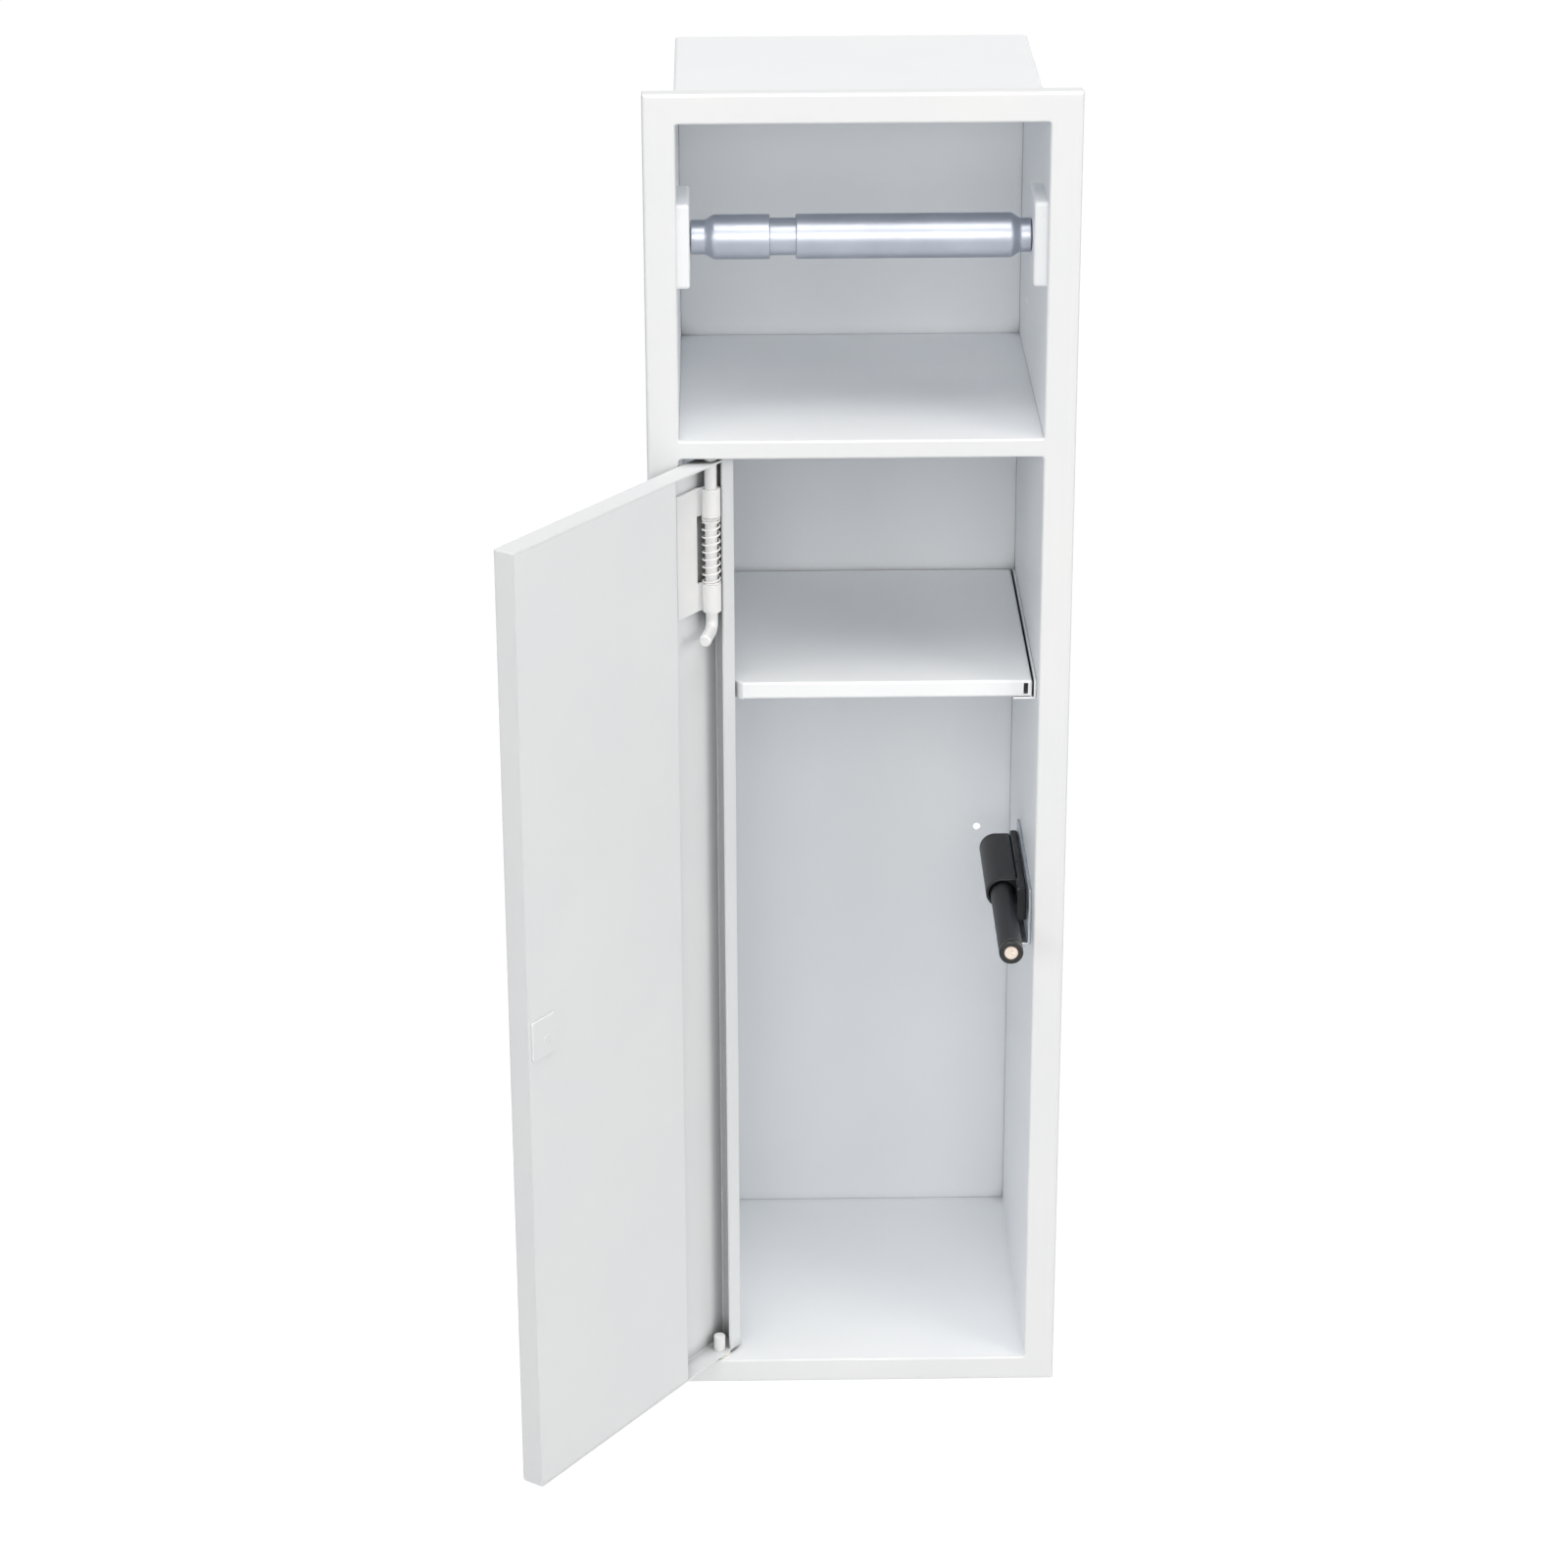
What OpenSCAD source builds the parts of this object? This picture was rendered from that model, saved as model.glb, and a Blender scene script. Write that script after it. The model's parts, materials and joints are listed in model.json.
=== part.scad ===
// Recessed bathroom niche: an open niche with a roller, over a cupboard with a push-latched door.
// X runs to the right, Y into the wall and Z up. The origin is the centre of the face frame's
// back face, where it lies on the finished wall. The door is drawn fully open.

/* [Face frame] */
// Outer width of the face frame
frame_w = 200; // [190:1:230]
// Outer height of the face frame
frame_h = 670; // [640:1:760]
// Width of each side rail
side_rail_w = 15; // [14:0.5:18]
// Height of the top rail
top_rail_h = 14; // [12:0.5:18]
// Height of the bottom rail
bottom_rail_h = 13; // [12:0.5:18]
// How far the frame stands proud of the wall
rim_depth = 9; // [8:0.5:12]
// Thickness of the frame's folded sheet
frame_sheet = 1.2; // [0.8:0.1:1.5]
// Width of the lip that lies against the wall
back_lip_w = 5; // [4:0.5:5.5]

/* [Recess box] */
// Depth from the frame's front to the back panel's face
recess_depth = 170; // [150:1:200]
// Thickness of the box's sheet steel
box_sheet = 1; // [0.8:0.1:1.2]
// Clear height of the open niche
niche_h = 150; // [140:1:170]
// Height of the divider's front face
divider_h = 9; // [8:0.5:12]
// Depth of the divider's underside, which holds the top pivot
divider_return = 36; // [28:1:50]
// Height of the divider's side and back flanges
divider_flange_h = 12; // [8:1:16]
// Diameter of the fixing screw holes
screw_hole_d = 4; // [3.5:0.5:6]
// Spacing of the back panel's holes across the box
back_hole_spacing = 135; // [110:1:145]
// Height of the lower back holes above the cupboard floor
lower_hole_rise = 222; // [180:1:260]
// Height of the upper back holes above the niche floor
upper_hole_rise = 54; // [40:1:80]
// Depth of the side holes behind the frame's front
side_hole_depth = 124; // [100:1:135]
// Distance of the side holes from the box's floor and roof
side_hole_inset = 120; // [110:1:125]

/* [Roller] */
// Height of the roller's axis above the niche floor
roller_rise = 91; // [80:1:100]
// How far each bracket stands off the side wall
bracket_w = 6; // [5.5:0.5:9]
// Depth of each bracket
bracket_depth = 36; // [30:1:50]
// Height of each bracket
bracket_h = 40; // [34:1:60]
// Setback of the brackets behind the frame's front
bracket_setback = 7; // [5:0.5:15]
// Thickness of the brackets' sheet
bracket_sheet = 1.2; // [1:0.1:1.5]
// Diameter of the roller's thick middle
roller_d = 20.7; // [19.5:0.1:24]
// Diameter of the roller's necks
neck_d = 15.8; // [13:0.1:17]
// Diameter of the roller's end pins
tip_d = 8.4; // [7:0.1:10]
// Wall between the roller's outside and its telescoping bore
roller_wall = 1.65; // [1.4:0.05:2]
// Length of inner tube that shows between the two halves
roller_travel_gap = 12; // [11:0.5:16]

/* [Door] */
// Thickness of the door
door_thickness = 12; // [11:0.5:13.5]
// Thickness of the door's sheet
door_sheet = 1; // [0.8:0.1:1.2]
// Gap at the door's free edge when closed
free_edge_gap = 1.5; // [1:0.1:3]
// Gap over the closed door
door_top_gap = 2; // [1.5:0.1:3]
// Gap under the closed door
door_bottom_gap = 2; // [1.9:0.1:3]
// Distance of the pivots from the opening's left side
pin_offset = 14.5; // [13.5:0.5:18]
// Depth of the pivots behind the frame's front
pin_depth = 7; // [6.5:0.5:8]
// Clearance of the door's hinge edge as it sweeps past the side wall
sweep_clearance = 0.35; // [0.3:0.05:0.8]
// How many degrees short of touching the frame the open door stops
door_stop_margin = 2.5; // [2:0.1:6]
// Distance from the pivots to the step of the door's inner panel
channel_w = 34; // [30:1:45]

/* [Spring hinge] */
// Height of the hinge leaf
leaf_h = 61.5; // [54:0.5:80]
// Width of the hinge leaf from the pin
leaf_w = 20.5; // [16:0.5:28]
// Thickness of the hinge leaf
leaf_t = 1.6; // [1.3:0.1:2]
// Height of each knuckle
knuckle_h = 14; // [10:0.5:16]
// Distance of the leaf's top below the door's top
hinge_drop = 14; // [10:0.5:30]
// Diameter of the hinge pin
pin_d = 5.9; // [5:0.1:6]
// Length of the pin's bent handle
handle_reach = 18; // [14:0.5:22]
// How far the handle lies below the leaf
handle_drop = 9; // [8.5:0.5:14]
// Angle of the handle away from the door's face
handle_angle = 25; // [10:1:30]
// Turns of the hinge spring
hinge_spring_turns = 10; // [6:1:12]
// Wire diameter of the hinge spring
hinge_wire_d = 0.8; // [0.6:0.1:1]

/* [Shelf] */
// Distance of the shelf's top below the divider
shelf_drop = 117; // [100:1:150]
// Height of the shelf's folded edges
shelf_edge_h = 8.5; // [7:0.5:14]
// Depth of the second fold, under the shelf's front edge
shelf_return_w = 15; // [8:1:25]
// Width of the ledges that carry the shelf
ledge_w = 11; // [8:0.5:16]
// Gap between the shelf and its ledges' uprights
shelf_side_gap = 1; // [0.4:0.1:1.5]
// Gap between the closed door and the shelf
shelf_front_gap = 1; // [0.5:0.1:4]
// Width of the relief slot in the shelf's front edge
slot_w = 2.2; // [1:0.1:4]

/* [Push latch] */
// Height of the latch above the cupboard floor
latch_rise = 241; // [200:1:280]
// Distance of the plunger's axis from the right wall
latch_offset = 12.5; // [12:0.5:14]
// Diameter of the plunger
plunger_d = 11.8; // [11:0.1:12]
// Stroke of the plunger
plunger_travel = 40; // [30:1:42]
// Depth of the housing's front behind the frame's front
housing_setback = 43; // [40:1:50]
// Length of the housing
housing_l = 57; // [55:1:75]
// Radius of the housing's rounded side
housing_r = 8; // [7.5:0.1:8.5]
// Thickness of the latch's base
latch_base_t = 3.5; // [2.5:0.1:3.7]
// Height of the latch's base
latch_base_h = 18; // [17:0.5:24]
// Thickness of the latch's steel bracket
latch_bracket_t = 1.5; // [1:0.1:1.8]
// Height of the latch's steel bracket
latch_bracket_h = 30; // [24:1:40]
// Width of the bracket's folded lower edge
latch_lip_w = 6.5; // [4:0.5:7]
// Diameter of the magnet in the plunger's tip
magnet_d = 7; // [5:0.1:8]
// Width of the strike plate on the door
strike_w = 17.6; // [14:0.1:19]
// Height of the strike plate on the door
strike_h = 20; // [16:0.5:30]

/* [Clearances] */
// Radial clearance of pins in their bores
running_clearance = 0.08; // [0.05:0.01:0.1]
// Gap left between two pieces that rest on each other across a joint
seat_gap = 0.3; // [0.2:0.05:0.4]
// Radial gap round a piece fixed in a hole
fixing_gap = 0.05; // [0.02:0.01:0.1]

/* [Hidden] */
$fn = 64;
// How far a cutter runs past the face that it cuts
cut = 1;

// Frame and box
bottom_z = -frame_h / 2;
top_z = frame_h / 2;
front_y = -rim_depth;
open_w = frame_w - 2 * side_rail_w;
side_x = open_w / 2;
floor_z = bottom_z + bottom_rail_h;
roof_z = top_z - top_rail_h;
shell_front_y = front_y + frame_sheet;
back_y = front_y + recess_depth;
divider_top_z = roof_z - niche_h;
divider_bottom_z = divider_top_z - divider_h;
side_hole_y = front_y + side_hole_depth;
side_hole_levels = [floor_z + side_hole_inset, roof_z - side_hole_inset];
back_hole_levels = [floor_z + lower_hole_rise, divider_top_z + upper_hole_rise];
flange_gap = 2;

// Pivots and door, in the closed door's own frame with its pivot axis at x = 0, y = 0
pin_x = -side_x + pin_offset;
pin_y = front_y + pin_depth;
pin_r = pin_d / 2;
bore_r = pin_r + running_clearance;
door_front = -pin_depth;
door_back = door_thickness - pin_depth;
door_floor = door_front + door_sheet;
sweep_r = pin_offset - sweep_clearance;
door_hinge_edge = sqrt(sweep_r * sweep_r - pow(max(pin_depth, door_back), 2));
door_free_edge = side_x - free_edge_gap - pin_x;
door_top_z = divider_bottom_z - door_top_gap;
door_bottom_z = floor_z + door_bottom_gap;
door_open_angle = 2 * atan(pin_offset / pin_depth) - door_stop_margin;
sweep_y = pin_y + pin_offset + sweep_clearance;
knuckle_gap = 0.2;

// Pivot bushes
bush_r = 4.5;
bush_flange_r = 5.5;
bush_flange_t = 0.8;
bush_depth = 5;
pin_engagement = divider_h - 2 * box_sheet - 1;
pivot_pin_rise = 9;
pin_chamfer = 0.8;

// Spring hinge
leaf_top_z = door_top_z - hinge_drop;
leaf_bottom_z = leaf_top_z - leaf_h;
knuckle_r = bore_r + leaf_t;
leaf_neck_w = knuckle_r + 0.4;
spring_margin = 0.1;
hinge_spring_r = knuckle_r - spring_margin - hinge_wire_d / 2;
door_lip_x = -sqrt(max(1, pow(knuckle_r + knuckle_gap, 2) - pow(door_back - door_sheet, 2)));
clip_t = 0.8;
clip_r = knuckle_r - spring_margin;
clip_top_z = leaf_top_z - knuckle_h - seat_gap;
spring_seat_z = leaf_bottom_z + knuckle_h;
leaf_notch_w = knuckle_r + 1;
bend_r = 5;
handle_z = leaf_bottom_z - handle_drop;

// Roller
bracket_x = side_x - bracket_w;
bracket_front_y = front_y + bracket_setback;
roller_y = bracket_front_y + bracket_depth / 2;
roller_z = divider_top_z + roller_rise;
roller_r = roller_d / 2;
neck_r = neck_d / 2;
tip_r = tip_d / 2;
tip_l = bracket_w - 1;
right_neck_l = 4.4;
left_neck_l = 6;
shoulder_l = 5.5;
tube_r = roller_r - roller_wall - running_clearance;
telescope_r = roller_r - roller_wall;
body_end_x = -30;
sleeve_cap_x = body_end_x - roller_travel_gap;
sleeve_end_x = 15;
body_bore_end_x = 50;
roller_spring_r = 6.4;
roller_wire_d = 1.2;
roller_spring_turns = 9;

// Shelf
shelf_top_z = divider_bottom_z - shelf_drop;
shelf_bottom_z = shelf_top_z - shelf_edge_h;
shelf_half_w = side_x - box_sheet - shelf_side_gap;
shelf_front_y = front_y + door_thickness + shelf_front_gap;
shelf_back_y = back_y - 1;
ledge_t = 1.2;

// Push latch
latch_x = side_x - latch_offset;
latch_z = floor_z + latch_rise;
bracket_face_x = side_x - latch_bracket_t;
base_face_x = bracket_face_x - latch_base_t;
housing_front_y = front_y + housing_setback;
housing_back_y = housing_front_y + housing_l;
strike_t = 1;
closed_tip_y = front_y + door_thickness + strike_t + seat_gap;
tip_y = closed_tip_y - plunger_travel;
plunger_r = plunger_d / 2;
ring_l = 4.7;
tube_front_y = tip_y + ring_l;
housing_end_wall = 2.5;
tube_back_y = housing_back_y - housing_end_wall - plunger_travel - 2;
tube_bore_r = 4;
tube_end_wall = 6;
latch_spring_r = 3.1;
latch_wire_d = 0.8;
latch_spring_turns = 20;
guide_rod_r = 2;
guide_rod_l = 50;
base_front_y = housing_front_y - 13;
base_back_y = housing_back_y + 1.5;
block_face_x = min(base_face_x - 0.3, latch_x + plunger_r + 0.5);
latch_bracket_front_y = closed_tip_y + 0.5;
latch_screw_depths = [base_front_y + 6.5, base_front_y + 39];
screw_r = 1.5;
screw_head_r = 2.9;
screw_head_l = 1.6;
strike_x = latch_x - pin_x;

// A box given by its low and high corners
module slab(low, high) {
    translate(low) cube(high - low);
}

// A rectangular ring between two depths, from its outer edges and the widths of its rails
module rail_ring(y0, y1, half_w, z0, z1, side, low, high) {
    difference() {
        slab([-half_w, y0, z0], [half_w, y1, z1]);
        slab([-half_w + side, y0 - cut, z0 + low], [half_w - side, y1 + cut, z1 - high]);
    }
}

// A round bar or hole from one point along X, Y or Z
module bar_x(x0, x1, y, z, r) {
    translate([x0, y, z]) rotate([0, 90, 0]) cylinder(h = x1 - x0, r = r);
}
module bar_y(x, y0, y1, z, r) {
    translate([x, y0, z]) rotate([-90, 0, 0]) cylinder(h = y1 - y0, r = r);
}
module bar_z(x, y, z0, z1, r) {
    translate([x, y, z0]) cylinder(h = z1 - z0, r = r);
}

// A rectangle with round corners, centred, made of squares and circles
module round_plate(w, h, r) {
    square([w - 2 * r, h], center = true);
    square([w, h - 2 * r], center = true);
    for (sx = [-1, 1], sy = [-1, 1]) translate([sx * (w / 2 - r), sy * (h / 2 - r)]) circle(r, $fn = 32);
}

// Carries the door's pieces from the closed door's frame to the open door's place
module door_place() {
    translate([pin_x, pin_y, 0]) rotate([0, 0, -door_open_angle]) children();
}

// Countersunk screw with its head's face at z = 0 and its shank running down
module countersunk(length, extra = 0) {
    translate([0, 0, -screw_head_l - extra])
        cylinder(h = screw_head_l + extra, r1 = screw_r + extra, r2 = screw_head_r + extra, $fn = 32);
    translate([0, 0, -length - extra]) cylinder(h = length, r = screw_r + extra, $fn = 32);
}

// Centre line of a coil spring on Z: a straight diameter at each end, and 8 points a turn between
points_per_turn = 8;
function coil_line(r, wire_d, z0, z1, turns) =
    let (low = z0 + wire_d, high = z1 - wire_d, steps = turns * points_per_turn)
    concat(
        [[r, 0, z0]],
        [for (i = [0:steps]) let (a = 360 * i / points_per_turn)
            [r * cos(a), r * sin(a), low + (high - low) * i / steps]],
        [[r, 0, z1]]
    );
function unit(v) = v / norm(v);
function line_way(line, i) =
    i == 0 || i == len(line) - 1 ? [0, 0, 1] :
    unit(unit(line[i] - line[i - 1]) + unit(line[i + 1] - line[i]));
function wire_ring(line, i, wire_r) =
    let (c = line[i], out = unit([c[0], c[1], 0]), across = cross(line_way(line, i), out))
    [for (k = [0:5]) c + wire_r * (cos(60 * k) * out + sin(60 * k) * across)];

// Least gap of the wire to itself, between points more than half a turn apart
function least_gap(line, wire_d) =
    min([for (i = [0:len(line) - 1], j = [i + points_per_turn / 2 + 1:1:len(line) - 1])
        norm(line[i] - line[j])]) - wire_d;

module coil(label, r, wire_d, z0, z1, turns) {
    line = coil_line(r, wire_d, z0, z1, turns);
    last = len(line) - 1;
    echo(str(label, ": least gap of the wire to itself ", least_gap(line, wire_d), " mm"));
    points = [for (i = [0:last]) each wire_ring(line, i, wire_d / 2)];
    sides = [for (i = [0:last - 1], k = [0:5])
        let (a = 6 * i + k, b = 6 * i + (k + 1) % 6)
        each [[a, b, b + 6], [a, b + 6, a + 6]]];
    ends = [for (k = [1:4]) each [[0, k + 1, k], [6 * last, 6 * last + k, 6 * last + k + 1]]];
    polyhedron(points, concat(sides, ends));
}

// Face frame: front plate with its rail between the two openings, outer rim and lip on the wall
module front_frame() {
    color("#e8e8e8") {
        rail_ring(front_y, shell_front_y, frame_w / 2, bottom_z, top_z,
            side_rail_w, bottom_rail_h, top_rail_h);
        slab([-side_x, front_y, divider_bottom_z], [side_x, shell_front_y, divider_top_z]);
        rail_ring(front_y, 0, frame_w / 2, bottom_z, top_z, frame_sheet, frame_sheet, frame_sheet);
        rail_ring(-frame_sheet, 0, frame_w / 2, bottom_z, top_z, back_lip_w, back_lip_w, back_lip_w);
    }
}

// Wrapped sides, floor and roof of the recess, with fixing holes and the lower bush's hole
module cabinet_shell() {
    color("#dfe2e6") difference() {
        rail_ring(shell_front_y, back_y + box_sheet, side_x + box_sheet, floor_z - box_sheet,
            roof_z + box_sheet, box_sheet, box_sheet, box_sheet);
        for (z = side_hole_levels)
            bar_x(-side_x - box_sheet - cut, side_x + box_sheet + cut, side_hole_y, z, screw_hole_d / 2);
        bar_z(pin_x, pin_y, floor_z - box_sheet - cut, floor_z + cut, bush_r + fixing_gap);
    }
}

module back_panel() {
    color("#c3c8ce") difference() {
        slab([-side_x, back_y, floor_z], [side_x, back_y + box_sheet, roof_z]);
        for (x = [-1, 1] * back_hole_spacing / 2, z = back_hole_levels)
            bar_y(x, back_y - cut, back_y + box_sheet + cut, z, screw_hole_d / 2);
    }
}

// Folded divider behind the frame's middle rail: niche floor, underside for the top pivot, front web
// with a notch over the pivot's bush, and stiffening flanges
module divider_tray() {
    under = divider_top_z - box_sheet;
    flange_y = front_y + divider_return + flange_gap;
    flange_z = under - divider_flange_h;
    color("#ececee") difference() {
        union() {
            slab([-side_x, shell_front_y, under], [side_x, back_y, divider_top_z]);
            slab([-side_x, shell_front_y, divider_bottom_z],
                [side_x, shell_front_y + box_sheet, divider_top_z]);
            slab([-side_x, shell_front_y, divider_bottom_z],
                [side_x, front_y + divider_return, divider_bottom_z + box_sheet]);
            for (s = [0, 1]) mirror([s, 0, 0])
                slab([side_x - box_sheet, flange_y, flange_z], [side_x, back_y, under]);
            slab([-side_x, back_y - box_sheet, flange_z], [side_x, back_y, under]);
        }
        bar_z(pin_x, pin_y, divider_bottom_z - cut, divider_bottom_z + box_sheet + cut,
            bush_r + fixing_gap);
        slab([pin_x - bush_flange_r - cut, shell_front_y - cut, divider_bottom_z + box_sheet],
            [pin_x + bush_flange_r + cut, shell_front_y + box_sheet + cut, divider_bottom_z + 3 * box_sheet]);
    }
}

// Angle that carries one side of the shelf, from a given depth to the back
module shelf_ledge(front) {
    color("#d9dbde") {
        slab([side_x - ledge_w, front, shelf_bottom_z - ledge_t], [side_x, shelf_back_y, shelf_bottom_z]);
        slab([side_x - box_sheet, front, shelf_bottom_z - ledge_t], [side_x, shelf_back_y, shelf_top_z]);
    }
}
module shelf_ledge_right() { shelf_ledge(shelf_front_y); }
module shelf_ledge_left() { mirror([1, 0, 0]) shelf_ledge(sweep_y); }

// Hollow cover bracket, open to the wall, with a hole for the roller's end pin
module roller_bracket() {
    low = [bracket_x, bracket_front_y, roller_z - bracket_h / 2];
    high = [side_x, bracket_front_y + bracket_depth, roller_z + bracket_h / 2];
    wall = [1, 1, 1] * bracket_sheet;
    color("#e4e4e4") difference() {
        slab(low, high);
        slab(low + wall, [high[0] + cut, high[1] - bracket_sheet, high[2] - bracket_sheet]);
        bar_x(bracket_x - cut, bracket_x + bracket_sheet + cut, roller_y, roller_z,
            tip_r + running_clearance);
    }
}
module roller_bracket_right() { roller_bracket(); }
module roller_bracket_left() { mirror([1, 0, 0]) roller_bracket(); }

// Flanged bush: its body runs from z0 to z1 and its flange from flange_z upwards
module pivot_bush(z0, z1, flange_z) {
    color("#f4f4f0") translate([pin_x, pin_y, 0]) difference() {
        union() {
            bar_z(0, 0, z0, z1, bush_r);
            bar_z(0, 0, flange_z, flange_z + bush_flange_t, bush_flange_r);
        }
        bar_z(0, 0, z0 - cut, z1 + bush_flange_t + cut, bore_r);
    }
}
module top_pivot_bush() {
    pivot_bush(divider_bottom_z, divider_bottom_z + pin_engagement, divider_bottom_z + box_sheet);
}
module bottom_pivot_bush() {
    pivot_bush(floor_z - bush_depth, floor_z, floor_z);
}

// Steel angle on the right wall that carries the latch, with its folded edge below
module latch_bracket() {
    low_z = latch_z - latch_bracket_h / 2;
    color("#c9ccd0") difference() {
        union() {
            slab([bracket_face_x, latch_bracket_front_y, low_z],
                [side_x, base_back_y, latch_z + latch_bracket_h / 2]);
            slab([side_x - latch_lip_w, latch_bracket_front_y, low_z],
                [side_x, base_back_y, low_z + latch_bracket_t]);
        }
        for (y = latch_screw_depths)
            bar_x(bracket_face_x - cut, side_x + cut, y, latch_z, screw_r + fixing_gap);
    }
}

// Base bar, thicker in front of the housing
module latch_base() {
    base_l = base_back_y - base_front_y;
    block_l = housing_front_y - base_front_y;
    color("#25272c") difference() {
        union() {
            translate([base_face_x, base_front_y + base_l / 2, latch_z]) rotate([0, 90, 0]) rotate([0, 0, 90])
                linear_extrude(latch_base_t) round_plate(base_l, latch_base_h, 2);
            translate([block_face_x, base_front_y + block_l / 2, latch_z]) rotate([0, 90, 0]) rotate([0, 0, 90])
                linear_extrude(bracket_face_x - block_face_x) round_plate(block_l, latch_base_h, 2);
        }
        for (y = latch_screw_depths) {
            translate([base_face_x, y, latch_z]) rotate([0, -90, 0])
                countersunk(latch_base_t + cut, fixing_gap);
            bar_x(block_face_x - cut, base_face_x + fixing_gap, y, latch_z, screw_head_r + fixing_gap);
        }
    }
}

// Housing with a rounded side, bored from the front for the plunger
module latch_housing() {
    flat_w = base_face_x - latch_x;
    color("#2b2d33") difference() {
        translate([latch_x, housing_back_y, latch_z]) rotate([90, 0, 0]) linear_extrude(housing_l)
            intersection() {
                union() {
                    circle(housing_r);
                    translate([0, -housing_r]) square([flat_w, 2 * housing_r]);
                }
                translate([-housing_r, -housing_r]) square([housing_r + flat_w, 2 * housing_r]);
            }
        bar_y(latch_x, housing_front_y - cut, housing_back_y - housing_end_wall, latch_z,
            plunger_r + running_clearance);
    }
}

module latch_guide_rod() {
    color("#9a9da1") bar_y(latch_x, housing_back_y - housing_end_wall - guide_rod_l,
        housing_back_y - housing_end_wall, latch_z, guide_rod_r);
}

module latch_screws() {
    color("#8d9094") for (y = latch_screw_depths) translate([base_face_x, y, latch_z]) rotate([0, -90, 0])
        countersunk(latch_base_t + latch_bracket_t - fixing_gap);
}

// Outer skin of the door with its four folded returns, and the lip beside the hinge's knuckles
module door_outer_pan() {
    color("#e6e6e6") door_place() difference() {
        slab([-door_hinge_edge, door_front, door_bottom_z], [door_free_edge, door_back, door_top_z]);
        slab([-door_hinge_edge + door_sheet, door_floor, door_bottom_z + door_sheet],
            [door_lip_x + cut, door_back - door_sheet, door_top_z - door_sheet]);
        slab([door_lip_x, door_floor, door_bottom_z + door_sheet],
            [door_free_edge - door_sheet, door_back + cut, door_top_z - door_sheet]);
        bar_z(0, 0, door_bottom_z - cut, door_top_z + cut, bore_r);
    }
}

// Inner skin of the door, stepped down beside the hinge channel
module door_inner_panel() {
    low_z = door_bottom_z + door_sheet;
    high_z = door_top_z - door_sheet;
    color("#e2e2e3") door_place() difference() {
        union() {
            slab([channel_w - door_sheet, door_back - door_sheet, low_z],
                [door_free_edge - door_sheet, door_back, high_z]);
            slab([channel_w - door_sheet, door_floor, low_z], [channel_w, door_back, high_z]);
        }
        translate([strike_x - 1.8, door_back + strike_t, latch_z - 2]) rotate([-90, 0, 0])
            countersunk(6, fixing_gap);
    }
}

// Hinge leaf whose ends rise from the door's skin and roll into two knuckles, notched round the spring
module hinge_leaf() {
    color("#ececec") door_place() difference() {
        union() {
            slab([leaf_neck_w, door_floor, leaf_bottom_z], [leaf_w, door_floor + leaf_t, leaf_top_z]);
            for (z = [leaf_bottom_z, leaf_top_z - knuckle_h]) {
                bar_z(0, 0, z, z + knuckle_h, knuckle_r);
                translate([0, 0, z]) linear_extrude(knuckle_h)
                    polygon([[0, -knuckle_r], [leaf_neck_w, door_floor],
                        [leaf_neck_w, door_floor + leaf_t], [0, -bore_r]]);
            }
        }
        slab([-cut, door_floor - cut, leaf_bottom_z + knuckle_h],
            [leaf_notch_w, door_floor + leaf_t + cut, leaf_top_z - knuckle_h]);
        bar_z(0, 0, leaf_bottom_z - cut, leaf_top_z + cut, bore_r);
    }
}

module bottom_pivot_pin() {
    top = door_bottom_z + pivot_pin_rise;
    color("#dfe3e6") door_place() {
        bar_z(0, 0, floor_z - bush_depth, top - pin_chamfer, pin_r);
        translate([0, 0, top - pin_chamfer]) cylinder(h = pin_chamfer, r1 = pin_r, r2 = pin_r - pin_chamfer);
    }
}

module pivot_washer() {
    color("#f4f4f0") door_place() difference() {
        bar_z(0, 0, floor_z + bush_flange_t + seat_gap, door_bottom_z, bush_flange_r);
        bar_z(0, 0, floor_z, door_bottom_z + cut, bore_r);
    }
}

module strike_plate() {
    color("#d4d6d8") door_place() difference() {
        translate([strike_x, door_back + strike_t, latch_z]) rotate([90, 0, 0])
            linear_extrude(strike_t) round_plate(strike_w, strike_h, 1.5);
        translate([strike_x - 1.8, door_back + strike_t, latch_z - 2]) rotate([-90, 0, 0])
            countersunk(6, fixing_gap);
    }
}

module strike_screw() {
    color("#b9bcc0") door_place()
        translate([strike_x - 1.8, door_back + strike_t, latch_z - 2]) rotate([-90, 0, 0]) countersunk(6);
}

// Pull-down pin of the spring hinge: straight shaft, quarter bend and level handle
module hinge_pin() {
    color("#efefef") door_place() rotate([0, 0, handle_angle]) {
        rotate([0, 0, 180]) bar_z(0, 0, handle_z + bend_r, divider_bottom_z + pin_engagement, pin_r);
        translate([bend_r, 0, handle_z + bend_r]) rotate([90, 0, 0]) rotate([0, 0, 180])
            rotate_extrude(angle = 90) translate([bend_r, 0]) circle(pin_r);
        bar_x(bend_r, handle_reach, 0, handle_z, pin_r);
    }
}

module pin_clip() {
    color("#d0d2d4") door_place() difference() {
        bar_z(0, 0, clip_top_z - clip_t, clip_top_z, clip_r);
        bar_z(0, 0, clip_top_z - clip_t - cut, clip_top_z + cut, pin_r + 0.02);
    }
}

module hinge_spring() {
    color("#f2f2f2") door_place()
        coil("hinge_spring", hinge_spring_r, hinge_wire_d, spring_seat_z, clip_top_z - clip_t,
            hinge_spring_turns);
}

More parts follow.
